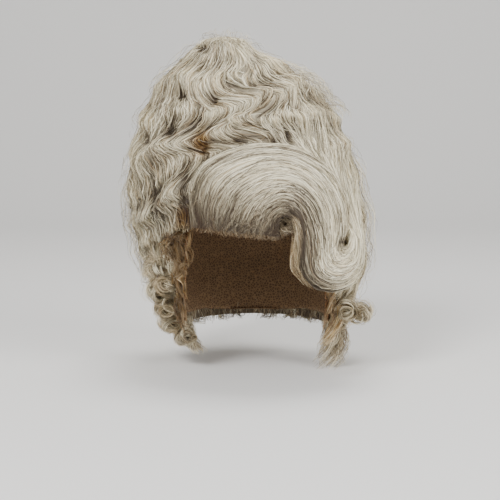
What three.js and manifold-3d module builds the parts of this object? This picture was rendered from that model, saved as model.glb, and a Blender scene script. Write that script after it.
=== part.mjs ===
// A tall waved bouffant costume wig with a side-swept fringe that turns into a large cheek curl.
// Millimetres. +Z is up, the face looks along -Y and the wearer's left is +X.
// The origin is the top of the wearer's head, where the inside of the cap rests on it.
import * as THREE from "three";
import { mergeVertices } from "three/addons/utils/BufferGeometryUtils.js";
import Module from "manifold-3d";

const wasm = await Module();
wasm.setup();

// The head that the wig fits
const headBreadth = 152;
const headFront = 92;
const headBack = 98;
const headDome = 85;
const headLength = 250;

// The cap and the lace along its front edge
const capWall = 1.5;
const laceWall = 1.1;
const laceWidth = 13;
const pieceGap = 0.35;
const napeDrop = 160;

// The bouffant, measured from the top of the head
const hairRise = 102.5;
const hairDrop = 168;
const reachRight = 118;
const reachLeft = 104;
const reachFront = 103;
const reachBack = 120;
const sectionFullness = 2.25;

// The set waves pressed into the bouffant, and the furrows between its locks
const waveRelief = 7;
const sideRelief = 0.5;
const waveSway = 0.13;
const furrowDepth = 3;
const furrowSpacing = 5;
const topHeight = 0.99;

// The bouffant is in three pieces: above this drop, and the wearer's right and left below it
const crownSplitDrop = 28;

// The fringe, from the hairline over the forehead and down to the cheek
const fringeSpan = 154;
const fringeHeight = 127;
const fringeLeftEnd = -56;
const fringeFoot = -118;
const fringeStand = 93;
const fringeWrap = 0.0032;
const fringeBulge = 24;
const fringeDepth = 34;
const fringeFullness = 0.8;

// The small barrel curls
const curlRadius = 10.5;
const curlHole = 0.36;
const curlLength = 24;

// How finely each surface is divided
const headSides = 24;
const headRows = 9;
const crownSides = 60;
const fringeSides = 14;
const fringeSteps = 34;
const curlSides = 12;

// Shares of headBreadth / 2, headFront and headBack, by the share of headLength below the top of the head
const headBelowDome = [
  { drop: 0.34, side: 1.0, front: 1.0, back: 1.0 },
  { drop: 0.44, side: 0.99, front: 1.0, back: 0.97 },
  { drop: 0.56, side: 0.94, front: 0.99, back: 0.86 },
  { drop: 0.68, side: 0.87, front: 0.96, back: 0.77 },
  { drop: 0.84, side: 0.79, front: 0.9, back: 0.72 },
  { drop: 1.0, side: 0.75, front: 0.85, back: 0.7 },
];

// Edge of the cap in the side view. reach is a share of headFront in front and of headBack behind, and
// drop is a share of napeDrop. The front edge runs over the forehead and down past the temple.
const capFrontEdge = [
  { reach: -2, drop: 0.38 },
  { reach: -0.71, drop: 0.38 },
  { reach: -0.63, drop: 0.42 },
  { reach: -0.56, drop: 0.72 },
  { reach: -0.43, drop: 0.95 },
];

// The lower edge runs on from there to the nape
const capLowerEdge = [
  { reach: -0.25, drop: 0.98 },
  { reach: 0.6, drop: 0.98 },
  { reach: 0.75, drop: 1 },
  { reach: 2, drop: 1 },
];

// Sections of the bouffant: height is a share of hairRise above the head and of hairDrop below its top,
// and the reaches are shares of reachRight, reachLeft, reachFront and reachBack. frontLeft is the reach
// to the front on the wearer's left, where the hair comes further forward over the cheek.
const crownSections = [
  { height: 1.0, right: 0.237, left: -0.269, front: -0.078, frontLeft: -0.078, back: 0.067 },
  { height: 0.985, right: 0.34, left: -0.144, front: 0.05, frontLeft: 0.05, back: 0.18 },
  { height: 0.955, right: 0.4, left: -0.1, front: 0.13, frontLeft: 0.13, back: 0.26 },
  { height: 0.885, right: 0.49, left: 0.02, front: 0.28, frontLeft: 0.28, back: 0.39 },
  { height: 0.76, right: 0.62, left: 0.27, front: 0.45, frontLeft: 0.45, back: 0.52 },
  { height: 0.6, right: 0.745, left: 0.46, front: 0.6, frontLeft: 0.6, back: 0.66 },
  { height: 0.39, right: 0.855, left: 0.68, front: 0.76, frontLeft: 0.76, back: 0.79 },
  { height: 0.17, right: 0.93, left: 0.79, front: 0.87, frontLeft: 0.87, back: 0.89 },
  { height: -0.03, right: 0.98, left: 0.87, front: 0.95, frontLeft: 0.95, back: 0.95 },
  { height: -0.21, right: 1.0, left: 0.935, front: 0.99, frontLeft: 0.99, back: 0.99 },
  { height: -0.32, right: 0.99, left: 0.97, front: 0.93, frontLeft: 0.95, back: 1.0 },
  { height: -0.42, right: 0.97, left: 0.985, front: 0.62, frontLeft: 0.87, back: 0.99 },
  { height: -0.54, right: 0.94, left: 1.0, front: 0.4, frontLeft: 0.8, back: 0.97 },
  { height: -0.68, right: 0.88, left: 0.985, front: 0.36, frontLeft: 0.72, back: 0.93 },
  { height: -0.8, right: 0.81, left: 0.92, front: 0.32, frontLeft: 0.5, back: 0.88 },
  { height: -0.92, right: 0.7, left: 0.81, front: 0.27, frontLeft: 0.34, back: 0.81 },
  { height: -0.98, right: 0.62, left: 0.72, front: 0.22, frontLeft: 0.28, back: 0.75 },
  { height: -1.0, right: 0.54, left: 0.62, front: 0.18, frontLeft: 0.22, back: 0.68 },
];

// Ridges of the set waves, by their height at the front, the left, the back and the right in the same
// shares as the sections. press is how strongly the wave under the ridge is pressed in, and sway how far
// the hair has swung to one side where it turns back at the ridge, as a share of waveSway.
const waveRidges = [
  { front: 0.93, left: 0.95, back: 0.95, right: 0.92, press: 0.3, sway: 0.7 },
  { front: 0.7, left: 0.78, back: 0.76, right: 0.6, press: 0.8, sway: 1.0 },
  { front: 0.48, left: 0.57, back: 0.53, right: 0.25, press: 1.1, sway: 1.0 },
  { front: 0.26, left: 0.34, back: 0.3, right: -0.02, press: 1.0, sway: 0.85 },
  { front: 0.04, left: 0.08, back: 0.06, right: -0.21, press: 0.9, sway: 0.7 },
  { front: -0.14, left: -0.17, back: -0.14, right: -0.4, press: 0.8, sway: 0.6 },
  { front: -0.32, left: -0.41, back: -0.33, right: -0.58, press: 0.7, sway: 0.5 },
  { front: -0.5, left: -0.6, back: -0.52, right: -0.74, press: 0.6, sway: 0.45 },
  { front: -0.72, left: -0.79, back: -0.74, right: -0.88, press: 0.5, sway: 0.4 },
  { front: -0.99, left: -0.99, back: -0.99, right: -0.99, press: 0, sway: 0.3 },
];

// One wave, from a ridge at share 0 to the next ridge at share 1. rise is a share of waveRelief.
const waveProfile = [
  { share: 0, rise: 0 },
  { share: 0.22, rise: -0.75 },
  { share: 0.5, rise: -1 },
  { share: 0.78, rise: -0.4 },
];

// Stations along the flow of the fringe. The inner edge circles the eye of the sweep and then becomes the
// rim of the cheek curl. x is a share of fringeSpan from its left end, z of fringeHeight from its foot,
// bulge and depth of fringeBulge and fringeDepth.
const fringeStations = [
  { innerX: 0.5, innerZ: 0.386, outerX: 0.0, outerZ: 0.452, bulge: 0.5, depth: 0.75 },
  { innerX: 0.49, innerZ: 0.457, outerX: -0.005, outerZ: 0.671, bulge: 0.9, depth: 0.95 },
  { innerX: 0.497, innerZ: 0.504, outerX: 0.073, outerZ: 0.877, bulge: 1.0, depth: 1.0 },
  { innerX: 0.532, innerZ: 0.528, outerX: 0.311, outerZ: 1.0, bulge: 1.0, depth: 1.0 },
  { innerX: 0.568, innerZ: 0.504, outerX: 0.576, outerZ: 0.986, bulge: 0.96, depth: 1.0 },
  { innerX: 0.588, innerZ: 0.441, outerX: 0.768, outerZ: 0.849, bulge: 0.88, depth: 0.9 },
  { innerX: 0.604, innerZ: 0.315, outerX: 0.876, outerZ: 0.63, bulge: 0.74, depth: 0.8 },
  { innerX: 0.617, innerZ: 0.205, outerX: 0.893, outerZ: 0.438, bulge: 0.68, depth: 0.72 },
  { innerX: 0.65, innerZ: 0.094, outerX: 0.876, outerZ: 0.349, bulge: 0.7, depth: 0.68 },
  { innerX: 0.734, innerZ: 0.014, outerX: 0.866, outerZ: 0.312, bulge: 0.72, depth: 0.66 },
  { innerX: 0.853, innerZ: 0.0, outerX: 0.872, outerZ: 0.292, bulge: 0.72, depth: 0.66 },
  { innerX: 0.949, innerZ: 0.068, outerX: 0.887, outerZ: 0.296, bulge: 0.68, depth: 0.66 },
  { innerX: 0.99, innerZ: 0.178, outerX: 0.904, outerZ: 0.326, bulge: 0.52, depth: 0.6 },
  { innerX: 0.985, innerZ: 0.33, outerX: 0.92, outerZ: 0.39, bulge: 0.2, depth: 0.4 },
];

// Barrel curls: x is a share of headBreadth / 2, y of headBack, z of hairDrop below the top of the head,
// size of curlRadius, length of curlLength, and turn is the barrel's heading in degrees from +Y
const barrelCurls = [
  { name: "right_side_curl_1", x: -1.24, y: -0.1, z: 0.64, size: 1.05, length: 1.1, turn: 24 },
  { name: "right_side_curl_2", x: -1.09, y: -0.21, z: 0.72, size: 0.95, length: 1.0, turn: 14 },
  { name: "right_side_curl_3", x: -1.21, y: -0.03, z: 0.78, size: 0.95, length: 1.1, turn: 20 },
  { name: "right_side_curl_4", x: -1.1, y: -0.1, z: 0.87, size: 0.95, length: 1.1, turn: 12 },
  { name: "right_side_curl_5", x: -1.04, y: 0.06, z: 0.95, size: 1.0, length: 1.2, turn: 18 },
  { name: "right_side_curl_6", x: -0.85, y: -0.02, z: 1.03, size: 0.95, length: 1.2, turn: 16 },
  { name: "left_side_curl_1", x: 1.13, y: -0.19, z: 0.87, size: 0.95, length: 1.1, turn: -10 },
  { name: "left_side_curl_2", x: 1.3, y: -0.12, z: 0.89, size: 0.95, length: 1.1, turn: -16 },
  { name: "left_side_curl_3", x: 1.04, y: -0.03, z: 0.94, size: 0.9, length: 1.1, turn: -8 },
];

// Loose tapering locks under the curls, from root to tip, in the same shares; thick is a share of curlRadius
const looseLocks = [
  { name: "right_nape_lock", x: -0.92, y: 0.16, z: 0.94, tipX: -0.68, tipY: 0.06, tipZ: 1.13, thick: 1.1 },
  { name: "left_front_lock", x: 1.0, y: -0.24, z: 0.84, tipX: 0.84, tipY: -0.24, tipZ: 1.05, thick: 0.75 },
  { name: "left_nape_lock", x: 0.96, y: 0.14, z: 0.94, tipX: 0.9, tipY: 0.02, tipZ: 1.2, thick: 1.05 },
];

const degrees = Math.PI / 180;

// A smooth value between the rows of a table, at a place counted in rows
function between(rows, key, place) {
  const row = Math.min(Math.floor(place), rows.length - 2);
  const share = place - row;
  const value = (n) => rows[Math.max(0, Math.min(rows.length - 1, n))][key];
  const [before, from, to, after] = [value(row - 1), value(row), value(row + 1), value(row + 2)];
  const slopeFrom = (to - before) / 2;
  const slopeTo = (after - from) / 2;
  const square = share * share;
  const cube = square * share;
  return (
    (2 * cube - 3 * square + 1) * from +
    (cube - 2 * square + share) * slopeFrom +
    (3 * square - 2 * cube) * to +
    (cube - square) * slopeTo
  );
}

// A manifold solid from a closed three.js geometry
function solidFrom(geometry) {
  const bare = new THREE.BufferGeometry();
  bare.setAttribute("position", geometry.getAttribute("position"));
  if (geometry.index) bare.setIndex(geometry.index);
  const merged = mergeVertices(bare, 1e-4);
  const triVerts = new Uint32Array(merged.index.array);
  const vertProperties = new Float32Array(merged.attributes.position.array);
  return new wasm.Manifold(new wasm.Mesh({ numProp: 3, vertProperties, triVerts }));
}

// A closed solid through rings of equally many points, with a point at the middle of each end
function loftSolid(rings) {
  const count = rings[0].length;
  const middle = (ring) => ring.reduce((sum, p) => sum.add(p), new THREE.Vector3()).divideScalar(count);
  const points = [...rings.flat(), middle(rings[0]), middle(rings.at(-1))];
  const firstEnd = rings.length * count;
  const lastRing = (rings.length - 1) * count;
  const faces = [];
  for (let j = 0; j < count; j++) {
    const next = (j + 1) % count;
    for (let i = 0; i < rings.length - 1; i++) {
      const here = i * count;
      faces.push([here + j, here + count + j, here + next]);
      faces.push([here + next, here + count + j, here + count + next]);
    }
    faces.push([firstEnd, j, next]);
    faces.push([firstEnd + 1, lastRing + next, lastRing + j]);
  }
  const enclosed = faces.reduce(
    (sum, [a, b, c]) => sum + points[a].dot(points[b].clone().cross(points[c])),
    0,
  );
  const outward = enclosed < 0 ? faces.map(([a, b, c]) => [a, c, b]) : faces;
  const geometry = new THREE.BufferGeometry().setFromPoints(points);
  geometry.setIndex(outward.flat());
  return solidFrom(geometry);
}

// A prism along X whose outline is drawn in the side view as [y, z] points
function sidePrism(outline, halfWidth) {
  const shape = new THREE.Shape(outline.map(([y, z]) => new THREE.Vector2(y, z)));
  const geometry = new THREE.ExtrudeGeometry(shape, { depth: 2 * halfWidth, bevelEnabled: false });
  // The drawing's axes become Y and Z, and the extrusion runs along X
  geometry.applyMatrix4(new THREE.Matrix4().set(0, 0, 1, -halfWidth, 1, 0, 0, 0, 0, 1, 0, 0, 0, 0, 0, 1));
  return solidFrom(geometry);
}

// A cube of a given size round a given middle
function boxSolid(size, middle) {
  return solidFrom(new THREE.BoxGeometry(size, size, size).translate(...middle));
}

// One solid from many
function joined(solids) {
  return solids.reduce((sum, solid) => sum.add(solid));
}

// The largest body of a solid, without the slivers that a cut may leave
function mainBody(solid) {
  return solid.decompose().reduce((best, body) => (body.volume() > best.volume() ? body : best));
}

// The head, with its surface moved out by grow
function headSolid(grow) {
  const rings = [];
  const ring = (drop, side, front, back) =>
    Array.from({ length: headSides }, (_, j) => {
      const angle = (2 * Math.PI * j) / headSides;
      const depth = Math.sin(angle) < 0 ? front : back;
      return new THREE.Vector3(side * Math.cos(angle), depth * Math.sin(angle), -drop);
    });
  // The dome, in equal turns from near its top to its widest ring
  for (let i = 1; i <= headRows; i++) {
    const tilt = ((i - 0.5) / headRows) * (Math.PI / 2);
    const width = Math.sin(tilt);
    const drop = headDome * (1 - Math.cos(tilt)) - grow * Math.cos(tilt);
    const out = grow * width;
    rings.push(ring(drop, (headBreadth / 2) * width + out, headFront * width + out, headBack * width + out));
  }
  for (const row of headBelowDome) {
    const side = (headBreadth / 2) * row.side + grow;
    rings.push(ring(headLength * row.drop, side, headFront * row.front + grow, headBack * row.back + grow));
  }
  return loftSolid(rings);
}

// Points of an edge in the side view, moved back and up by inset
function edgePoints(rows, inset) {
  return rows.map(({ reach, drop }) => [
    reach * (reach < 0 ? headFront : headBack) + inset,
    -drop * napeDrop + inset,
  ]);
}

// Everything in front of and under an edge that is given by its points in the side view
function belowEdge(points) {
  const floor = -2 * headLength;
  return sidePrism([[points[0][0], floor], ...points, [points.at(-1)[0], floor]], 2 * headBreadth);
}

// The point of the smooth bouffant at an angle round it and a place in its table
function crownPoint(angle, place) {
  const share = (key) => between(crownSections, key, place);
  const height = share("height");
  const right = -share("right") * reachRight;
  const left = share("left") * reachLeft;
  const toLeft = (1 + Math.cos(angle)) / 2;
  const front = -(share("front") * (1 - toLeft) + share("frontLeft") * toLeft) * reachFront;
  const back = share("back") * reachBack;
  const round = (value) => Math.sign(value) * Math.abs(value) ** (2 / sectionFullness);
  return new THREE.Vector3(
    (right + left) / 2 + ((left - right) / 2) * round(Math.cos(angle)),
    (front + back) / 2 + ((back - front) / 2) * round(Math.sin(angle)),
    height > 0 ? height * hairRise : height * hairDrop,
  );
}

// Outward direction of the bouffant's surface
function crownOutward(angle, place) {
  const step = 0.02;
  const last = crownSections.length - 1;
  const around = crownPoint(angle + step, place).sub(crownPoint(angle - step, place));
  const above = crownPoint(angle, Math.max(place - step, 0));
  const below = crownPoint(angle, Math.min(place + step, last));
  return below.sub(above).cross(around).normalize();
}

// Place in the table of sections at a given height
function placeAt(height) {
  let low = 0;
  let high = crownSections.length - 1;
  for (let i = 0; i < 24; i++) {
    const middle = (low + high) / 2;
    if (between(crownSections, "height", middle) > height) low = middle;
    else high = middle;
  }
  return (low + high) / 2;
}

// Height of a ridge at an angle round the head, smooth through its four values
function ridgeHeight(ridge, angle) {
  const { front, left, back, right } = ridge;
  return (
    (front + left + back + right) / 4 +
    ((left - right) / 2) * Math.cos(angle) +
    ((back - front) / 2) * Math.sin(angle) +
    ((left + right - front - back) / 4) * Math.cos(2 * angle)
  );
}

// The bouffant as a full form, before the head and the other pieces are cut from it. Its rows run along
// the ridges, its columns run across them and turn back at each, and every few columns lie in a furrow.
function bouffantForm() {
  const rings = [];
  const topRow = { front: topHeight, left: topHeight, back: topHeight, right: topHeight, press: 0 };
  const addRing = (from, to, share, rise, swing) =>
    rings.push(
      Array.from({ length: crownSides }, (_, j) => {
        const angle = (2 * Math.PI * j) / crownSides + waveSway * swing;
        const height = ridgeHeight(from, angle) * (1 - share) + ridgeHeight(to, angle) * share;
        const place = placeAt(height);
        const faceOn = Math.max(0, -Math.sin(angle));
        const relief = rise * (sideRelief + (1 - sideRelief) * faceOn);
        const furrow = j % furrowSpacing === 0 ? furrowDepth * from.press : 0;
        return crownPoint(angle, place).addScaledVector(crownOutward(angle, place), relief - furrow);
      }),
    );
  addRing(topRow, topRow, 0, 0, 0);
  for (let k = 0; k < waveRidges.length - 1; k++) {
    for (const { share, rise } of waveProfile) {
      const sway = waveRidges[k].sway * (1 - share) + waveRidges[k + 1].sway * share;
      const swing = sway * Math.cos(Math.PI * (k + share));
      addRing(waveRidges[k], waveRidges[k + 1], share, waveRelief * waveRidges[k].press * rise, swing);
    }
  }
  const last = waveRidges.at(-1);
  addRing(last, last, 0, 0, 0);
  return loftSolid(rings);
}

// The fringe as a lens-shaped section carried along its flow
function fringeSolid(grow) {
  const rings = [];
  const last = fringeStations.length - 1;
  for (let i = 0; i <= fringeSteps; i++) {
    const share = (key) => between(fringeStations, key, (last * i) / fringeSteps);
    const inner = new THREE.Vector2(share("innerX") * fringeSpan, share("innerZ") * fringeHeight);
    const outer = new THREE.Vector2(share("outerX") * fringeSpan, share("outerZ") * fringeHeight);
    const overhang = grow / inner.distanceTo(outer);
    rings.push(
      Array.from({ length: fringeSides }, (_, j) => {
        const angle = (2 * Math.PI * j) / fringeSides;
        const across = (0.5 + overhang) * Math.cos(angle) + 0.5;
        const flat = inner.clone().lerp(outer, across);
        const x = fringeLeftEnd + flat.x;
        const forward = Math.sin(angle) > 0;
        const size = forward ? share("bulge") * fringeBulge : share("depth") * fringeDepth;
        const seat = -fringeStand + fringeWrap * x * x;
        const full = Math.sign(Math.sin(angle)) * Math.abs(Math.sin(angle)) ** fringeFullness;
        return new THREE.Vector3(x, seat - (size + grow) * full, fringeFoot + flat.y);
      }),
    );
  }
  return loftSolid(rings);
}

// A curl as a short barrel of rounded wall. A filled one has no hole through it.
function barrelSolid(curl, grow, filled) {
  const radius = curl.size * curlRadius + grow;
  const half = (curl.length * curlLength) / 2 + grow;
  const hole = filled ? 0 : curlHole * curl.size * curlRadius;
  const edge = 0.3 * radius;
  const outline = [
    [hole, -half + 0.4 * edge],
    [radius - edge, -half],
    [radius, -half + edge],
    [radius, half - edge],
    [radius - edge, half],
    [hole, half - 0.4 * edge],
  ].map(([x, y]) => new THREE.Vector2(x, y));
  if (!filled) outline.push(outline[0].clone());
  const geometry = new THREE.LatheGeometry(outline, curlSides);
  const heading = new THREE.Matrix4().makeRotationZ(curl.turn * degrees);
  const place = new THREE.Matrix4().makeTranslation(
    (curl.x * headBreadth) / 2,
    curl.y * headBack,
    -curl.z * hairDrop,
  );
  geometry.applyMatrix4(place.multiply(heading));
  return solidFrom(geometry);
}

// A tapering lock that bows outwards between its root and its tip
function lockSolid(lock, grow) {
  const steps = 7;
  const sides = 8;
  const side = headBreadth / 2;
  const root = new THREE.Vector3(lock.x * side, lock.y * headBack, -lock.z * hairDrop);
  const tip = new THREE.Vector3(lock.tipX * side, lock.tipY * headBack, -lock.tipZ * hairDrop);
  const rings = [];
  for (let i = 0; i <= steps; i++) {
    const share = i / steps;
    const middle = root.clone().lerp(tip, share);
    middle.x += Math.sign(lock.x) * 0.4 * curlRadius * Math.sin(Math.PI * share);
    const radius = lock.thick * curlRadius * (1 - 0.75 * share) + grow;
    rings.push(
      Array.from({ length: sides }, (_, j) => {
        const angle = (2 * Math.PI * j) / sides;
        const out = new THREE.Vector3(radius * Math.cos(angle), 1.3 * radius * Math.sin(angle), 0);
        return out.add(middle);
      }),
    );
  }
  return loftSolid(rings);
}

const hairMaterial = new THREE.MeshStandardMaterial({ color: 0xb9b2a6, roughness: 0.6, metalness: 0 });
const laceMaterial = new THREE.MeshStandardMaterial({ color: 0x8d6a45, roughness: 0.85, metalness: 0 });
const capMaterial = new THREE.MeshStandardMaterial({ color: 0x9a8468, roughness: 0.9, metalness: 0 });

const wig = new THREE.Group();

function addPiece(name, solid, material) {
  const { vertProperties, triVerts } = solid.getMesh();
  const geometry = new THREE.BufferGeometry();
  geometry.setAttribute("position", new THREE.BufferAttribute(new Float32Array(vertProperties), 3));
  geometry.setIndex(new THREE.BufferAttribute(new Uint32Array(triVerts), 1));
  geometry.computeVertexNormals();
  const mesh = new THREE.Mesh(geometry, material);
  mesh.name = name;
  wig.add(mesh);
}

const head = headSolid(0);

function addCap() {
  const outside = belowEdge([...edgePoints(capFrontEdge, 0), ...edgePoints(capLowerEdge, 0)]);
  const frontStrip = belowEdge(edgePoints(capFrontEdge, laceWidth));
  const stripRoom = belowEdge(edgePoints(capFrontEdge, laceWidth + pieceGap));
  const lace = headSolid(laceWall).subtract(head).subtract(outside);
  addPiece("front_lace", mainBody(lace.intersect(frontStrip)), laceMaterial);
  const cap = headSolid(capWall).subtract(head).subtract(outside);
  addPiece("wig_cap", mainBody(cap.subtract(stripRoom)), capMaterial);
}

function addHair() {
  const headRoom = headSolid(capWall + pieceGap);
  const cutters = [headRoom, fringeSolid(pieceGap)];
  addPiece("fringe_sweep", mainBody(fringeSolid(0).subtract(headRoom)), hairMaterial);
  for (const curl of barrelCurls) {
    const barrel = barrelSolid(curl, 0, false).subtract(joined(cutters));
    addPiece(curl.name, mainBody(barrel), hairMaterial);
    cutters.push(barrelSolid(curl, pieceGap, true));
  }
  for (const lock of looseLocks) {
    addPiece(lock.name, mainBody(lockSolid(lock, 0).subtract(joined(cutters))), hairMaterial);
    cutters.push(lockSolid(lock, pieceGap));
  }
  const bouffant = bouffantForm().subtract(joined(cutters));
  const size = 4 * headLength;
  const half = (size + pieceGap) / 2;
  const above = boxSolid(size, [0, 0, half - crownSplitDrop]);
  const below = [0, 0, -half - crownSplitDrop];
  addPiece("crown_hair", mainBody(bouffant.intersect(above)), hairMaterial);
  for (const [name, side] of [["right_hair", -1], ["left_hair", 1]]) {
    const quarter = boxSolid(size, below).intersect(boxSolid(size, [side * half, 0, 0]));
    addPiece(name, mainBody(bouffant.intersect(quarter)), hairMaterial);
  }
}

addCap();
addHair();

export default wig;
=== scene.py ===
import math

import bpy
import numpy as np
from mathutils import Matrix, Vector


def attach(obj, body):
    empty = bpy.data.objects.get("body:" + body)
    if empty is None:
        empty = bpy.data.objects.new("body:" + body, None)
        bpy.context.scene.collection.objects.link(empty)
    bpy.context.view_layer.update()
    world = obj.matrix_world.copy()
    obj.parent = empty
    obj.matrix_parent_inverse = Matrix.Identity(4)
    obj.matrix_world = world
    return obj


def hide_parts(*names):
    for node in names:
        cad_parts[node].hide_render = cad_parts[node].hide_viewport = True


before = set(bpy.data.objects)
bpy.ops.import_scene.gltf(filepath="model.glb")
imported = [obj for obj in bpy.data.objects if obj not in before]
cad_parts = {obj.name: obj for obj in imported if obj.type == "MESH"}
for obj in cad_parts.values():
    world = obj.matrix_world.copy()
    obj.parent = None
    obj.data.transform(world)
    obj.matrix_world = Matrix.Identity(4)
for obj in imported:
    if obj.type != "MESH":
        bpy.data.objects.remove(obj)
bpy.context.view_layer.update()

# Metres, in the frame of the solids: the open front faces -Y, the wig's left side is +X and the origin is
# the top of the seat
rng = np.random.default_rng(7)
frontAngle = -math.pi / 2


# Small helpers

def column(rows, key):
    return np.array([row[key] for row in rows], dtype=float)


# Smooth value between table rows, place is counted in rows
def between(values, place):
    row = np.clip(np.floor(place).astype(int), 0, len(values) - 2)
    share = place - row
    at = lambda n: values[np.clip(n, 0, len(values) - 1)]
    before, start, end, after = at(row - 1), at(row), at(row + 1), at(row + 2)
    square = share * share
    cube = square * share
    return (
        (2 * cube - 3 * square + 1) * start
        + (cube - 2 * square + share) * (end - before) / 2
        + (3 * square - 2 * cube) * end
        + (cube - square) * (after - start) / 2
    )


def unit(vectors):
    return vectors / np.maximum(np.linalg.norm(vectors, axis=-1, keepdims=True), 1e-12)


# A steady random value from 0 to 1 for each whole number
def hashed(numbers, seed):
    return np.mod(np.sin(numbers * 12.9898 + seed * 78.233) * 43758.5453, 1.0)


# Mesh object from arrays, with a colour attribute: red is the tone, painted light and shade included, green
# the warmth
def makeMesh(name, verts, faces, material, nodes, tone=None, warm=None, uv=None):
    mesh = bpy.data.meshes.new(name)
    faces = np.asarray(faces, dtype=np.int32)
    corners = faces.shape[1]
    mesh.vertices.add(len(verts))
    mesh.vertices.foreach_set("co", np.asarray(verts, dtype=np.float32).ravel())
    mesh.loops.add(len(faces) * corners)
    mesh.loops.foreach_set("vertex_index", faces.ravel())
    mesh.polygons.add(len(faces))
    mesh.polygons.foreach_set("loop_start", np.arange(0, len(faces) * corners, corners, dtype=np.int32))
    mesh.polygons.foreach_set("loop_total", np.full(len(faces), corners, dtype=np.int32))
    mesh.update(calc_edges=True)
    mesh.validate()
    mesh.polygons.foreach_set("use_smooth", np.ones(len(mesh.polygons), dtype=bool))
    if tone is not None:
        colours = np.ones((len(verts), 4), dtype=np.float32)
        colours[:, 0] = np.clip(tone, 0, 1)
        colours[:, 1] = np.clip(warm, 0, 1)
        colours[:, 2] = 0
        attribute = mesh.color_attributes.new("shade", "FLOAT_COLOR", "POINT")
        attribute.data.foreach_set("color", colours.ravel())
    if uv is not None:
        layer = mesh.uv_layers.new(name="flow")
        loops = np.empty(len(mesh.loops), dtype=np.int32)
        mesh.loops.foreach_get("vertex_index", loops)
        layer.data.foreach_set("uv", np.asarray(uv, dtype=np.float32)[loops].ravel())
    mesh.materials.append(material)
    made = bpy.data.objects.new(name, mesh)
    bpy.context.scene.collection.objects.link(made)
    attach(made, "root")
    if nodes:
        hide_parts(*nodes)
    return made


# Only the points that the faces use, with the faces numbered to match
def compact(points, faces):
    used = np.unique(faces)
    renumber = np.zeros(len(points), dtype=int)
    renumber[used] = np.arange(len(used))
    return used, renumber[faces]


# Quads of a grid of points, rows by cols, closed round the columns
def gridFaces(rows, cols):
    r, c = np.meshgrid(np.arange(rows - 1), np.arange(cols), indexing="ij")
    after = (c + 1) % cols
    quads = [r * cols + c, (r + 1) * cols + c, (r + 1) * cols + after, r * cols + after]
    return np.stack(quads, -1).reshape(-1, 4)


# Flat tapering ribbons along paths (strand, point, xyz), turned about their line by twist
def ribbons(paths, outward, width, twist, taper=0.25):
    tangent = unit(np.gradient(paths, axis=1))
    side = unit(np.cross(tangent, outward))
    lift = np.cross(side, tangent)
    turn = twist[:, None, None]
    across = side * np.cos(turn) + lift * np.sin(turn)
    count = paths.shape[1]
    along = np.linspace(0, 1, count)
    shape = taper + (1 - taper) * np.sin(np.pi * np.clip(along, 0.02, 0.98)) ** 0.5
    half = 0.5 * width[:, None, None] * shape[None, :, None]
    verts = np.stack([paths - across * half, paths + across * half], axis=2).reshape(-1, 3)
    strand, step = np.meshgrid(np.arange(len(paths)), np.arange(count - 1), indexing="ij")
    first = (strand * count + step) * 2
    faces = np.stack([first, first + 1, first + 3, first + 2], -1).reshape(-1, 4)
    return verts, faces


# From 0 to 1 while values rise over a length from start
def risen(values, start, length):
    return np.clip((values - start) / length, 0, 1)


# The outward direction for paths that all face the front
def frontward(paths):
    return np.zeros_like(paths) + np.array([0, -1, 0])


# Paths with small waves of their own, frizz is their usual height and frizzWaves how many there are
def frizzed(paths, outward, own):
    count, points = paths.shape[:2]
    amount = np.abs(rng.normal(0, own["frizz"], (count, 1)))
    turns = rng.uniform(*own["frizzWaves"], (count, 1))
    along = np.linspace(0, 1, points)
    side = unit(np.cross(unit(np.gradient(paths, axis=1)), outward))
    phase = 2 * math.pi * (turns * along + rng.uniform(0, 1, (count, 1)))
    swing = (amount * np.sin(phase))[..., None]
    rise = (0.5 * amount * np.cos(phase))[..., None]
    return paths + side * swing + outward * rise


# A piece of hair made of many ribbons, its tone and warmth given by strand or by point
def hairPiece(name, paths, outward, width, tone, warm, twistRange=0.9):
    twist = rng.uniform(-twistRange, twistRange, len(paths))
    verts, faces = ribbons(paths, outward, width, twist)
    byVertex = lambda values: np.repeat(np.broadcast_to(values.reshape(len(paths), -1), paths.shape[:2]), 2)
    made = makeMesh(name, verts, faces, strandMaterial, (), byVertex(tone), byVertex(warm))
    print(f"{name}: {len(paths)} strands, {2 * len(faces)} triangles")
    return made


# Materials

hairColours = {
    "dark": (0.075, 0.055, 0.036),
    "mid": (0.34, 0.293, 0.205),
    "light": (0.77, 0.7, 0.515),
    "white": (0.96, 0.905, 0.71),
    "warmDark": (0.045, 0.018, 0.006),
    "warmMid": (0.27, 0.15, 0.045),
    "warmLight": (0.74, 0.53, 0.25),
}
hairLook = {"shine": 0.35, "through": 0.18, "streakDetail": 4.0}      # through: share of light let through
strandTones = {"dark": (0.24, 0.09), "mid": (0.58, 0.12), "light": (0.9, 0.1)}      # middle and spread


def rampOf(tree, stops):
    ramp = tree.nodes.new("ShaderNodeValToRGB")
    elements = ramp.color_ramp.elements
    while len(elements) < len(stops):
        elements.new(0.5)
    for element, (position, colour) in zip(elements, stops):
        element.position = position
        element.color = (*colour, 1)
    return ramp


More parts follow.
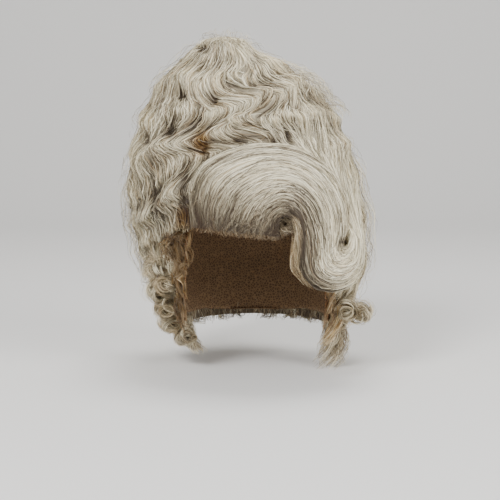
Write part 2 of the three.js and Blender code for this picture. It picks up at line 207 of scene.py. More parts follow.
# Tone and warmth come from the shade attribute, streaks add fine lines along the flow
def hairMaterial(name, roughness, streaks):
    material = bpy.data.materials.new(name)
    material.use_nodes = True
    tree = material.node_tree
    tree.nodes.clear()
    link = tree.links.new
    shade = tree.nodes.new("ShaderNodeAttribute")
    shade.attribute_name = "shade"
    split = tree.nodes.new("ShaderNodeSeparateColor")
    link(shade.outputs["Color"], split.inputs["Color"])
    c = hairColours
    cool = rampOf(tree, [(0.0, c["dark"]), (0.4, c["mid"]), (0.75, c["light"]), (1.0, c["white"])])
    warm = rampOf(tree, [(0.0, c["warmDark"]), (0.5, c["warmMid"]), (1.0, c["warmLight"])])
    tone = split.outputs["Red"]
    if streaks:
        flow = tree.nodes.new("ShaderNodeUVMap")
        flow.uv_map = "flow"
        stretch = tree.nodes.new("ShaderNodeMapping")
        stretch.inputs["Scale"].default_value = (streaks["across"], streaks["along"], 1)
        link(flow.outputs["UV"], stretch.inputs["Vector"])
        lines = tree.nodes.new("ShaderNodeTexNoise")
        lines.inputs["Scale"].default_value = 1.0
        lines.inputs["Detail"].default_value = hairLook["streakDetail"]
        link(stretch.outputs["Vector"], lines.inputs["Vector"])
        spread = tree.nodes.new("ShaderNodeMath")
        spread.operation = "MULTIPLY_ADD"
        spread.inputs[1].default_value = streaks["contrast"]
        spread.inputs[2].default_value = -0.5 * streaks["contrast"]
        link(lines.outputs["Fac"], spread.inputs[0])
        mixed = tree.nodes.new("ShaderNodeMath")
        mixed.operation = "ADD"
        link(tone, mixed.inputs[0])
        link(spread.outputs[0], mixed.inputs[1])
        tone = mixed.outputs[0]
    link(tone, cool.inputs["Fac"])
    link(tone, warm.inputs["Fac"])
    tint = tree.nodes.new("ShaderNodeMix")
    tint.data_type = "RGBA"
    link(split.outputs["Green"], tint.inputs["Factor"])
    link(cool.outputs["Color"], tint.inputs[6])         # inputs 6 and 7 are the node's two colours
    link(warm.outputs["Color"], tint.inputs[7])
    surface = tree.nodes.new("ShaderNodeBsdfPrincipled")
    surface.inputs["Roughness"].default_value = roughness
    surface.inputs["Specular IOR Level"].default_value = hairLook["shine"]
    link(tint.outputs[2], surface.inputs["Base Color"])
    through = tree.nodes.new("ShaderNodeBsdfTranslucent")
    link(tint.outputs[2], through.inputs["Color"])
    both = tree.nodes.new("ShaderNodeMixShader")
    both.inputs[0].default_value = hairLook["through"]
    link(surface.outputs[0], both.inputs[1])
    link(through.outputs[0], both.inputs[2])
    out = tree.nodes.new("ShaderNodeOutputMaterial")
    link(both.outputs[0], out.inputs["Surface"])
    return material


strandMaterial = hairMaterial("hairStrands", 0.42, None)
massMaterial = hairMaterial("hairMass", 0.6, {"across": 900, "along": 9, "contrast": 0.9})
sweepMassMaterial = hairMaterial("sweepMass", 0.5, {"across": 120, "along": 2.5, "contrast": 0.8})
curlMassMaterial = hairMaterial("curlMass", 0.6, {"across": 60, "along": 14, "contrast": 0.9})


# The seat, which is the rounded form that the cap is made to fit

seat = {"breadth": 0.152, "front": 0.092, "back": 0.098, "dome": 0.085, "length": 0.250}
# shares of those sizes below the dome, drop is a share of length
seatBelowDome = [
    {"drop": 0.34, "side": 1.0, "front": 1.0, "back": 1.0},
    {"drop": 0.44, "side": 0.99, "front": 1.0, "back": 0.97},
    {"drop": 0.56, "side": 0.94, "front": 0.99, "back": 0.86},
    {"drop": 0.68, "side": 0.87, "front": 0.96, "back": 0.77},
    {"drop": 0.84, "side": 0.79, "front": 0.9, "back": 0.72},
    {"drop": 1.0, "side": 0.75, "front": 0.85, "back": 0.7},
]


# Half breadth, front and back of the seat at a height
def seatReach(z):
    drop = np.clip(-z, 1e-6, seat["length"])
    dome = np.sqrt(np.clip(1 - (1 - drop / seat["dome"]) ** 2, 0, 1))
    below = drop / seat["length"]
    knots = column(seatBelowDome, "drop")
    reach = []
    for key, size in (("side", seat["breadth"] / 2), ("front", seat["front"]), ("back", seat["back"])):
        low = np.interp(below, knots, column(seatBelowDome, key))
        reach.append(size * np.where(drop < seat["dome"], dome, low))
    return reach


# About how far points are outside the seat, level with them
def seatClearance(points):
    x, y, z = points[..., 0], points[..., 1], points[..., 2]
    side, front, back = seatReach(z)
    depth = np.where(y < 0, front, back)
    ratio = np.sqrt((x / np.maximum(side, 1e-4)) ** 2 + (y / np.maximum(depth, 1e-4)) ** 2)
    outside = (ratio - 1) * np.minimum(side, depth)
    return np.where(z > 0, np.maximum(z, outside), outside)


# Point at an angle round the seat, grow metres outside it
def seatPoint(angle, z, grow):
    side, front, back = seatReach(z)
    depth = np.where(np.sin(angle) < 0, front, back)
    return np.stack([(side + grow) * np.cos(angle), (depth + grow) * np.sin(angle), z + 0 * angle], -1)


# The bouffant

crown = {
    "rise": 0.1025, "drop": 0.168,
    "reachRight": 0.118, "reachLeft": 0.104, "reachFront": 0.103, "reachBack": 0.120,
    "fullness": 2.25,
    "waveRelief": 0.0075,       # ridge to hollow of a fully pressed wave
    "sideRelief": 0.5,          # share of it away from the front
    "swayFront": 0.15,          # swing of the waves, radians round the crown
    "swaySides": 0.045,
    "locks": 34,
    "lockHeight": 0.0022,
    "lockStray": 0.13,          # how far each lock's waves slip from its neighbours', in waves
    "lockWander": 0.45,         # how far the lines between locks stray, in locks
    "wispsInLock": 5,
    "wispHeight": 0.0009,
}
crownShades = {
    "base": 0.18,
    "ridge": 0.40,              # painted light on the ridges and painted shade in the hollows of the waves
    "lockEdge": 0.16,           # painted shade in the lines between locks
    "wisp": 0.24,               # spread of tone from wisp to wisp, and from lock to lock
    "lock": 0.34,
}

# dark gaps between the locks in front, pressed in and darkened with painted shade: middle, half sizes and
# depth in metres, how dark and how brown
gaps = [
    {"x": -0.068, "z": 0.057, "wide": 0.0045, "tall": 0.0065, "deep": 0.006, "dark": 0.8, "warm": 0.1},
    {"x": -0.038, "z": 0.053, "wide": 0.0042, "tall": 0.0055, "deep": 0.006, "dark": 0.8, "warm": 0.3},
    {"x": -0.077, "z": 0.021, "wide": 0.0035, "tall": 0.0055, "deep": 0.005, "dark": 0.8, "warm": 0.1},
    {"x": -0.101, "z": 0.014, "wide": 0.0040, "tall": 0.0060, "deep": 0.004, "dark": 0.8, "warm": 0.1},
    {"x": -0.014, "z": 0.017, "wide": 0.0070, "tall": 0.0035, "deep": 0.003, "dark": 0.8, "warm": 0.1},
    {"x": 0.019, "z": 0.015, "wide": 0.0075, "tall": 0.0065, "deep": 0.005, "dark": 1.0, "warm": 0.3},
    {"x": 0.030, "z": 0.017, "wide": 0.0030, "tall": 0.0085, "deep": 0.005, "dark": 0.9, "warm": 0.2},
    {"x": -0.047, "z": 0.094, "wide": 0.0065, "tall": 0.0030, "deep": 0.004, "dark": 0.8, "warm": 0.1},
    {"x": -0.049, "z": 0.014, "wide": 0.0080, "tall": 0.0125, "deep": 0.006, "dark": 0.5, "warm": 1.3},
    {"x": -0.091, "z": -0.039, "wide": 0.0040, "tall": 0.0160, "deep": 0.004, "dark": 0.8, "warm": 0.0},
    {"x": -0.064, "z": -0.032, "wide": 0.0045, "tall": 0.0200, "deep": 0.004, "dark": 0.8, "warm": 0.0},
    {"x": -0.063, "z": -0.057, "wide": 0.0095, "tall": 0.0120, "deep": 0.000, "dark": 0.25, "warm": 1.1},
]

# height is a share of rise above the seat's top and of drop below it, the rest are shares of the reaches
crownSections = [
    {"height": 1.0, "right": 0.237, "left": -0.269, "front": -0.078, "frontLeft": -0.078, "back": 0.067},
    {"height": 0.985, "right": 0.34, "left": -0.144, "front": 0.05, "frontLeft": 0.05, "back": 0.18},
    {"height": 0.955, "right": 0.4, "left": -0.1, "front": 0.13, "frontLeft": 0.13, "back": 0.26},
    {"height": 0.885, "right": 0.49, "left": 0.02, "front": 0.28, "frontLeft": 0.28, "back": 0.39},
    {"height": 0.76, "right": 0.62, "left": 0.27, "front": 0.45, "frontLeft": 0.45, "back": 0.52},
    {"height": 0.6, "right": 0.745, "left": 0.46, "front": 0.6, "frontLeft": 0.6, "back": 0.66},
    {"height": 0.39, "right": 0.855, "left": 0.68, "front": 0.76, "frontLeft": 0.76, "back": 0.79},
    {"height": 0.17, "right": 0.93, "left": 0.79, "front": 0.87, "frontLeft": 0.87, "back": 0.89},
    {"height": -0.03, "right": 0.98, "left": 0.87, "front": 0.95, "frontLeft": 0.95, "back": 0.95},
    {"height": -0.21, "right": 1.0, "left": 0.935, "front": 0.99, "frontLeft": 0.99, "back": 0.99},
    {"height": -0.32, "right": 0.99, "left": 0.97, "front": 0.93, "frontLeft": 0.95, "back": 1.0},
    {"height": -0.42, "right": 0.97, "left": 0.985, "front": 0.62, "frontLeft": 0.87, "back": 0.99},
    {"height": -0.54, "right": 0.94, "left": 1.0, "front": 0.4, "frontLeft": 0.8, "back": 0.97},
    {"height": -0.68, "right": 0.88, "left": 0.985, "front": 0.36, "frontLeft": 0.72, "back": 0.93},
    {"height": -0.8, "right": 0.81, "left": 0.92, "front": 0.32, "frontLeft": 0.5, "back": 0.88},
    {"height": -0.92, "right": 0.7, "left": 0.81, "front": 0.27, "frontLeft": 0.34, "back": 0.81},
    {"height": -0.98, "right": 0.62, "left": 0.72, "front": 0.22, "frontLeft": 0.28, "back": 0.75},
    {"height": -1.0, "right": 0.54, "left": 0.62, "front": 0.18, "frontLeft": 0.22, "back": 0.68},
]

# where each ridge of the set waves lies, top row is the crown's point
waveRidges = [
    {"front": 1.0, "left": 1.0, "back": 1.0, "right": 1.0, "press": 0.0, "sway": 0.0},
    {"front": 0.93, "left": 0.95, "back": 0.95, "right": 0.92, "press": 0.3, "sway": 0.7},
    {"front": 0.7, "left": 0.78, "back": 0.76, "right": 0.6, "press": 0.8, "sway": 1.0},
    {"front": 0.48, "left": 0.57, "back": 0.53, "right": 0.25, "press": 1.1, "sway": 1.0},
    {"front": 0.26, "left": 0.34, "back": 0.3, "right": -0.02, "press": 1.0, "sway": 0.85},
    {"front": 0.04, "left": 0.08, "back": 0.06, "right": -0.21, "press": 0.9, "sway": 0.7},
    {"front": -0.14, "left": -0.17, "back": -0.14, "right": -0.4, "press": 0.8, "sway": 0.6},
    {"front": -0.32, "left": -0.41, "back": -0.33, "right": -0.58, "press": 0.7, "sway": 0.5},
    {"front": -0.5, "left": -0.6, "back": -0.52, "right": -0.74, "press": 0.6, "sway": 0.45},
    {"front": -0.72, "left": -0.79, "back": -0.74, "right": -0.88, "press": 0.5, "sway": 0.4},
    {"front": -0.99, "left": -0.99, "back": -0.99, "right": -0.99, "press": 0.2, "sway": 0.3},
]
lastRidge = len(waveRidges) - 1

waveProfile = [
    {"share": 0.0, "rise": 0.0},
    {"share": 0.22, "rise": -0.75},
    {"share": 0.5, "rise": -1.0},
    {"share": 0.78, "rise": -0.4},
    {"share": 1.0, "rise": 0.0},
]

crownHeights = (-0.995, 0.999)      # nothing is built beyond them, where the sections close
finePlaces = np.linspace(0, len(crownSections) - 1, 1200)
fineHeights = between(column(crownSections, "height"), finePlaces)


# Point of the smooth bouffant at an angle and a share of height
def crownSurface(angle, height):
    place = np.interp(-height, -fineHeights, finePlaces)
    right = -between(column(crownSections, "right"), place) * crown["reachRight"]
    left = between(column(crownSections, "left"), place) * crown["reachLeft"]
    toLeft = (1 + np.cos(angle)) / 2
    frontShare = (between(column(crownSections, "front"), place) * (1 - toLeft)
                  + between(column(crownSections, "frontLeft"), place) * toLeft)
    front = -frontShare * crown["reachFront"]
    back = between(column(crownSections, "back"), place) * crown["reachBack"]
    bend = lambda v: np.sign(v) * np.abs(v) ** (2 / crown["fullness"])
    z = np.where(height > 0, height * crown["rise"], height * crown["drop"])
    return np.stack([
        (right + left) / 2 + (left - right) / 2 * bend(np.cos(angle)),
        (front + back) / 2 + (back - front) / 2 * bend(np.sin(angle)),
        z,
    ], -1)


def crownOutward(angle, height):
    angleStep, heightStep = 0.02, 0.012
    around = crownSurface(angle + angleStep, height) - crownSurface(angle - angleStep, height)
    above = crownSurface(angle, np.clip(height + heightStep, -1, 1))
    below = crownSurface(angle, np.clip(height - heightStep, -1, 1))
    return unit(np.cross(below - above, around))


# A column of the ridge table at a place counted in ridges from the top
def atRidge(wave, key):
    return np.interp(wave, np.arange(lastRidge + 1), column(waveRidges, key))


# Height of the line that lies wave ridges down from the top
def ridgeHeight(wave, angle):
    front, left, back, right = [atRidge(wave, side) for side in ("front", "left", "back", "right")]
    return (
        (front + left + back + right) / 4
        + (left - right) / 2 * np.cos(angle)
        + (back - front) / 2 * np.sin(angle)
        + (left + right - front - back) / 4 * np.cos(2 * angle)
    )


# Point of the waved hair, with its outward direction, shade and warmth. strand is where it lies round
# the crown in radians, and wave how many ridges down. Sums of sines keep the locks from lying evenly.
def crownPoint(strand, wave, lift=0.0):
    evenPlace = np.mod(strand, 2 * math.pi) / (2 * math.pi) * crown["locks"]
    ownLock = np.floor(evenPlace)
    stray = (np.sin(1.7 * wave + 3 * strand) + 0.6 * np.sin(2.9 * wave - 5 * strand + 1)
             + 0.7 * np.sin(9 * strand) + 0.5 * np.sin(14 * strand + 2))
    lockPlace = np.mod(evenPlace + crown["lockWander"] * stray, crown["locks"])
    lock = np.floor(lockPlace)
    inLock = 2 * (lockPlace - lock) - 1             # from -1 to 1 across the lock, and so across the wisp
    wispPlace = lockPlace * crown["wispsInLock"] + 0.8 * np.sin(4.1 * wave + 11 * strand)
    wisp = np.floor(wispPlace)
    inWisp = 2 * (wispPlace - wisp) - 1
    # ridges wander a little, and each lock slips from the next
    slip = (0.16 * np.sin(3 * strand + 1.3 * wave) + 0.10 * np.sin(7 * strand - 0.9 * wave + 2)
            + crown["lockStray"] * (2 * hashed(ownLock, 3) - 1))
    stretch = (0.8 + 0.4 * hashed(ownLock, 4)) * (1 + 0.25 * np.sin(2 * strand + 1.1 * wave + 1))
    faceOn = np.clip(np.cos(strand - frontAngle), 0, 1) ** 1.5
    sway = (crown["swaySides"] + (crown["swayFront"] - crown["swaySides"]) * faceOn) * stretch
    sway = sway * atRidge(wave, "sway")
    phase = wave + slip * np.clip(wave / 2, 0, 1)
    # the hair turns back at each ridge, to the right side at the first and to the left at the next
    angle = strand - sway * np.cos(math.pi * phase)
    height = np.clip(ridgeHeight(wave, angle), *crownHeights)
    base = crownSurface(angle, height)
    outward = crownOutward(angle, height)
    share = phase - np.floor(phase)
    rise = np.interp(share, column(waveProfile, "share"), column(waveProfile, "rise"))
    relief = rise * atRidge(wave, "press") * (crown["sideRelief"] + (1 - crown["sideRelief"]) * faceOn)
    body = (1 - inLock ** 2) ** 0.7 - 0.8 + 0.7 * (hashed(lock, 5) - 0.5)
    fine = (1 - inWisp ** 2) * (0.4 + 1.2 * hashed(wisp, 6)) - 0.6
    fade = np.clip(wave / 0.8, 0, 1)                # the top stays smooth
    out = crown["waveRelief"] * relief + crown["lockHeight"] * body + crown["wispHeight"] * fine
    out = fade * out + lift
    # patches of wisps and of locks that share a tone
    patch = wisp + 31 * np.floor(wave * 0.8 + hashed(wisp, 7))
    broad = lock + 37 * np.floor(wave * 0.9 + hashed(lock, 15))
    # ridges get painted light, hollows and the lines between locks painted shade; wisps and locks differ in
    # tone at random
    shade = (crownShades["ridge"] * relief - crownShades["lockEdge"] * np.abs(inLock) ** 4
             + crownShades["wisp"] * (hashed(patch, 8) - 0.5)
             + crownShades["lock"] * (hashed(broad, 16) - 0.5) + crownShades["base"])
    warmth = np.zeros_like(shade)
    # each gap is pressed in by its depth, darkened with painted shade and made browner
    for gap in gaps:
        aside = (base[..., 0] - gap["x"]) / gap["wide"]
        above = (base[..., 2] - gap["z"]) / gap["tall"]
        near = np.exp(-aside ** 2 - above ** 2) * (base[..., 1] < 0)
        out = out - gap["deep"] * near
        shade = shade - gap["dark"] * near
        warmth = np.maximum(warmth, np.minimum(gap["warm"] * near, 1))
    return base + outward * out[..., None], outward, shade, warmth


crownMass = {
    "colsInLock": 10, "rows": 112,
    "sunk": 0.0012,             # how far it lies under the strands
    # darker than the strands: darker hair underneath, with painted shade between the strands
    "tone": 0.36,
    "outerClear": 0.0016,       # hair is left out where it would be nearer to the seat
    "lining": 0.003,            # how far its inner side stands off the seat
    "liningHeights": (-0.14, -0.11, -0.08, -0.05, -0.03),
    "liningTone": 0.1, "liningWarm": 0.3,
}


# The dense body of hair under the strands, closed round the nape to the inside of the cap
def buildCrownMass():
    own = crownMass
    cols, rows = crown["locks"] * own["colsInLock"], own["rows"]
    strand = np.linspace(0, 2 * math.pi, cols, endpoint=False)
    wave = np.linspace(0.03, lastRidge, rows)
    strandGrid, waveGrid = np.meshgrid(strand, wave)
    outer, _, shade, warm = crownPoint(strandGrid, waveGrid, -own["sunk"])
    rim = outer[-1]
    angle = np.arctan2(rim[:, 1] / 1.25, rim[:, 0])     # the rim is about 1.25 times as long as wide
    inner = seatPoint(angle, np.full(cols, rim[:, 2].mean()), own["lining"])
    under = [rim * (1 - share) + inner * share for share in (0.5, 1.0)]
    under += [seatPoint(angle, np.full(cols, z), own["lining"]) for z in own["liningHeights"]]
    under = np.array(under)
    points = np.concatenate([outer, under])
    flat = points.reshape(-1, 3)
    clear = seatClearance(outer) > own["outerClear"]
    # an inner point stays only where there is hair outside it
    outerClear = []
    for ring in under:
        near = np.abs(outer[:, :, 2] - ring[None, :, 2]).argmin(axis=0)
        outerClear.append(seatClearance(outer[near, np.arange(cols)]) > own["lining"])
    keep = np.concatenate([clear, np.array(outerClear)]).ravel()
    faces = gridFaces(len(points), cols)
    faces = faces[keep[faces].all(axis=1)]
    tones = np.concatenate([own["tone"] + shade, np.full(under.shape[:2], own["liningTone"])]).ravel()
    warms = np.concatenate([warm, np.full(under.shape[:2], own["liningWarm"])]).ravel()
    flow = np.stack([
        np.tile(strand / (2 * math.pi), (len(points), 1)),
        np.concatenate([waveGrid, np.full(under.shape[:2], 10.0)]) / 10,
    ], -1).reshape(-1, 2)
    used, faces = compact(flat, faces)
    nodes = ["crown_hair", "right_hair", "left_hair"]
    makeMesh("crownMass", flat[used], faces, massMaterial, nodes,
             tones[used], warms[used], flow[used])
    print(f"crownMass: {2 * len(faces)} triangles")


buildCrownMass()


# Strand and wave numbers, even over the surface
def spreadOnCrown(count):
    strand = rng.uniform(0, 2 * math.pi, count * 4)
    wave = rng.uniform(0.05, lastRidge, count * 4)
    step = 0.02
    at = lambda s, w: crownSurface(s, np.clip(ridgeHeight(w, s), *crownHeights))
    across = at(strand + step, wave) - at(strand - step, wave)
    down = at(strand, np.minimum(wave + step, lastRidge)) - at(strand, wave - step)
    area = np.linalg.norm(np.cross(across, down), axis=1)
    chosen = rng.uniform(0, 1, len(area)) < area / np.quantile(area, 0.9)
    picked = np.flatnonzero(chosen)[:count]
    return strand[picked], wave[picked]


# Strand tones: a share of them dark, a share nearly white, the rest between
def toneOf(count, own):
    kind = rng.uniform(0, 1, count)
    tone = rng.normal(*strandTones["mid"], count)
    tone = np.where(kind < own["dark"], rng.normal(*strandTones["dark"], count), tone)
    return np.where(kind > 1 - own["light"], rng.normal(*strandTones["light"], count), tone)


crownStrands = {
    "pieces": 3, "count": 6500, "points": 12,
    "length": (0.7, 1.5),       # in ridges
    "width": (0.0003, 0.0008), "lift": (0.0, 0.0024),
    "sunk": 0.0008,             # how deep their ends lie
    "clear": 0.0018,            # least distance from the seat
    "drift": 0.03,              # how far they stray round the crown, in radians
    "ownWave": 0.05,            # how far their waves slip against their lock's
    "frizz": 0.00045, "frizzWaves": (1, 3), "dark": 0.16, "light": 0.46, "brown": 0.7,
    # no strand hangs below this corner of the fringe, to the left of it and in front
    "corner": (-0.059, -0.06, -0.0618),
}


def buildCrownStrands(name):
    own = crownStrands
    strand, wave = spreadOnCrown(own["count"])
    count, points = len(strand), own["points"]
    reach = rng.uniform(*own["length"], count)
    low = np.clip(wave - reach * rng.uniform(0.3, 0.7, count), 0.04, lastRidge - 0.3)
    high = np.clip(low + reach, 0.3, lastRidge)
    along = np.linspace(0, 1, points)
    lifts = rng.uniform(*own["lift"], count)
    drift = rng.normal(0, own["drift"], count)
    ownWave = rng.normal(0, own["ownWave"], count)
    # the second time round, strands that ran into the seat stop short of it
    for _ in range(2):
        waves = low[:, None] + (high - low)[:, None] * along
        strands = strand[:, None] + drift[:, None] * (along - 0.5)
        strands = strands + 0.3 * ownWave[:, None] * np.sin(math.pi * waves)
        lifting = lifts[:, None] * np.sin(math.pi * np.clip(along, 0.0, 0.97)) ** 0.5 - own["sunk"]
        paths, outward, shade, warm = crownPoint(strands, waves, lifting)
        hidden = seatClearance(paths) < own["clear"]
        first = np.where(hidden.any(axis=1), hidden.argmax(axis=1), points)
        high = np.where(first < points, low + (high - low) * np.maximum(first - 1, 0) / (points - 1), high)
    cornerX, cornerY, cornerZ = own["corner"]
    underFringe = (paths[..., 0] > cornerX) & (paths[..., 1] < cornerY) & (paths[..., 2] < cornerZ)
    keep = (first > 4) & ((high - low) > 0.15) & ~underFringe.any(axis=1)
    paths, outward, shade, warm = paths[keep], outward[keep], shade[keep], warm[keep]
    count = len(paths)
    paths = frizzed(paths, outward, own)
    tone = toneOf(count, own)[:, None] + shade
    warm = np.maximum(warm, (rng.uniform(0, 1, count) ** 4 * own["brown"])[:, None])
    hairPiece(name, paths, outward, rng.uniform(*own["width"], count), tone, warm)


for number in range(crownStrands["pieces"]):
    buildCrownStrands(f"crownStrands{number + 1}")


topStrands = {
    "count": 420, "points": 15,
    "length": (0.6, 1.5),       # in ridges, to each side of the crown's point
    "width": (0.0003, 0.0007), "lift": 0.0008,
    "aside": 0.008,             # how far they pass from the crown's point
    "fall": 12.5,               # the top falls away by 13 mm at 32 mm from its point
    "frizz": 0.0004, "frizzWaves": (1, 3), "dark": 0.16, "light": 0.46, "warm": 0.08,
}


# Hair that lies over the crown's point from one side to the other
def buildTopStrands():
    own = topStrands
    count = own["count"]
    place = np.linspace(-1, 1, own["points"])
    heading = rng.uniform(0, 2 * math.pi, (count, 1))
    reach = rng.uniform(*own["length"], (count, 2))
    wave = np.where(place < 0, reach[:, :1], reach[:, 1:]) * np.abs(place)
    strand = heading + np.where(place < 0, 0, math.pi + rng.normal(0, 0.5, (count, 1)))
    paths, outward, shade, _ = crownPoint(strand, np.maximum(wave, 0.02), own["lift"] * (1 - place ** 2))
    aside = rng.normal(0, own["aside"], (count, 1)) * (1 - place ** 2)
    paths[..., 0] -= aside * np.sin(heading)
    paths[..., 1] += aside * np.cos(heading)
    paths[..., 2] -= own["fall"] * aside ** 2
    outward = unit(outward * np.abs(place)[:, None] + np.array([0, 0, 1]) * (1 - np.abs(place))[:, None])
    paths = frizzed(paths, outward, own)
    tone = toneOf(count, own)[:, None] + shade
    hairPiece("topStrands", paths, outward, rng.uniform(*own["width"], count), tone, 0 * shade + own["warm"])


buildTopStrands()


# The fringe, which sweeps up from the hairline, round an open eye, and ends as the cheek curl

sweep = {
    "span": 0.154, "height": 0.127, "leftEnd": -0.056, "foot": -0.118,
    "stand": 0.093, "wrap": 3.2, "bulge": 0.024, "depth": 0.034, "fullness": 0.8,
    "locks": 13, "lockHeight": 0.0009, "wispsInLock": 6, "wispHeight": 0.0005, "lockWander": 0.9,
}
sweepStations = [
    {"innerX": 0.5, "innerZ": 0.386, "outerX": 0.0, "outerZ": 0.452, "bulge": 0.5, "depth": 0.75},
    {"innerX": 0.49, "innerZ": 0.457, "outerX": -0.005, "outerZ": 0.671, "bulge": 0.9, "depth": 0.95},
    {"innerX": 0.497, "innerZ": 0.504, "outerX": 0.073, "outerZ": 0.877, "bulge": 1.0, "depth": 1.0},
    {"innerX": 0.532, "innerZ": 0.528, "outerX": 0.311, "outerZ": 1.0, "bulge": 1.0, "depth": 1.0},
    {"innerX": 0.568, "innerZ": 0.504, "outerX": 0.576, "outerZ": 0.986, "bulge": 0.96, "depth": 1.0},
    {"innerX": 0.588, "innerZ": 0.441, "outerX": 0.768, "outerZ": 0.849, "bulge": 0.88, "depth": 0.9},
    {"innerX": 0.604, "innerZ": 0.315, "outerX": 0.876, "outerZ": 0.63, "bulge": 0.74, "depth": 0.8},
    {"innerX": 0.617, "innerZ": 0.205, "outerX": 0.893, "outerZ": 0.438, "bulge": 0.68, "depth": 0.72},
    {"innerX": 0.65, "innerZ": 0.094, "outerX": 0.876, "outerZ": 0.349, "bulge": 0.7, "depth": 0.68},
    {"innerX": 0.734, "innerZ": 0.014, "outerX": 0.866, "outerZ": 0.312, "bulge": 0.72, "depth": 0.66},
    {"innerX": 0.853, "innerZ": 0.0, "outerX": 0.872, "outerZ": 0.292, "bulge": 0.72, "depth": 0.66},
    {"innerX": 0.949, "innerZ": 0.068, "outerX": 0.887, "outerZ": 0.296, "bulge": 0.68, "depth": 0.66},
    {"innerX": 0.99, "innerZ": 0.178, "outerX": 0.904, "outerZ": 0.326, "bulge": 0.52, "depth": 0.6},
    {"innerX": 0.985, "innerZ": 0.33, "outerX": 0.92, "outerZ": 0.39, "bulge": 0.2, "depth": 0.4},
]
lastStation = len(sweepStations) - 1
sweepShades = {
    "lockEdge": 0.1, "wisp": 0.24,              # as in the crown: painted shade between locks, and tone that differs at random from wisp to wisp
    "hairline": 0.26, "hairlineHigh": 0.054,    # how dark it is at the hairline, painted shade over darker roots, and how high that reaches
    "eye": 0.22, "eyeWide": 0.16,               # painted shade beside the eye that the sweep winds round
    # painted shade in the pit in the cheek curl
    "pit": 0.7,
    "line": 0.78, "lineWide": 0.055,            # the dark line, a band of painted shade
    "beside": 0.44, "besideAway": 0.17, "besideWide": 0.15,     # a softer painted shade on its outer side
    "lineWarm": 0.55, "hairlineWarm": 0.7,      # how brown the hair is inside the line and at the hairline
}
pit = {"x": 0.0755, "z": -0.0755, "wide": 0.0034, "tall": 0.0046}       # the pit in the cheek curl, darkened with painted shade

# the dark line of painted shade that winds out of the eye, across is its share of the way from the inner edge
darkLine = [
    {"station": 3.0, "across": 0.1},
    {"station": 4.0, "across": 0.14},
    {"station": 5.0, "across": 0.21},
    {"station": 5.5, "across": 0.19},
    {"station": 6.0, "across": 0.15},
    {"station": 6.6, "across": 0.1},
    {"station": 7.2, "across": 0.06},
    {"station": 8.0, "across": 0.03},
]


# Point of the sweep: station along its flow, turn round its section, the front half is 0 to pi
def sweepPoint(station, turn, lift=0.0):
    value = {k: between(column(sweepStations, k), station) for k in sweepStations[0]}
    across = 0.5 * np.cos(turn) + 0.5
    innerX, outerX = value["innerX"] * sweep["span"], value["outerX"] * sweep["span"]
    innerZ, outerZ = value["innerZ"] * sweep["height"], value["outerZ"] * sweep["height"]
    reach = np.hypot(outerX - innerX, outerZ - innerZ)
    spread = lift * np.cos(turn) / np.maximum(reach, 0.005)
    x = sweep["leftEnd"] + innerX + (outerX - innerX) * (across + spread)
    z = sweep["foot"] + innerZ + (outerZ - innerZ) * (across + spread)
    full = np.sign(np.sin(turn)) * np.abs(np.sin(turn)) ** sweep["fullness"]
    thick = np.where(np.sin(turn) > 0, value["bulge"] * sweep["bulge"], value["depth"] * sweep["depth"])
    y = -sweep["stand"] + sweep["wrap"] * x * x - (thick + lift) * full
    return np.stack([x, y, z], -1)


def sweepOutward(station, turn):
    stationStep, turnStep = 0.03, 0.02
    before = sweepPoint(np.maximum(station - stationStep, 0), turn)
    after = sweepPoint(np.minimum(station + stationStep, lastStation), turn)
    around = sweepPoint(station, turn + turnStep) - sweepPoint(station, turn - turnStep)
    outward = unit(np.cross(after - before, around))
    face = sweepPoint(station, np.full_like(turn, math.pi / 2))
    rear = sweepPoint(station, np.full_like(turn, 1.5 * math.pi))
    facing = np.sum(outward * (face - rear), axis=-1) * np.sign(np.sin(turn) + 1e-6)
    return outward * np.where(facing < 0, -1, 1)[..., None]


# Hair that leaves the hairline at a share across cuts a little inside the section lines
def sweepBow(station, across):
    return 0.11 * np.sin(math.pi * np.clip(station / 3.6, 0, 1)) * np.sin(math.pi * np.clip(across, 0, 1))


# From 1 at the fringe's hairline to 0 at the top of its band of painted shade, a little weaker towards the
# eye
def nearHairline(points, station):
    x, z = points[..., 0], points[..., 2]
    hairline = np.interp(x, [-0.06, -0.02, 0.03], [-0.0595, -0.0685, -0.072])
    share = np.clip(1 - (z - hairline) / sweepShades["hairlineHigh"], 0, 1) * np.clip(4.6 - station, 0, 1)
    return share * np.interp(x, [-0.015, 0.01], [1.0, 0.95])


# How near points are to the pit in the cheek curl, which is darkened with painted shade
def cheekPit(points):
    aside = (points[..., 0] - pit["x"]) / pit["wide"]
    above = (points[..., 2] - pit["z"]) / pit["tall"]
    return np.exp(-aside ** 2 - above ** 2)


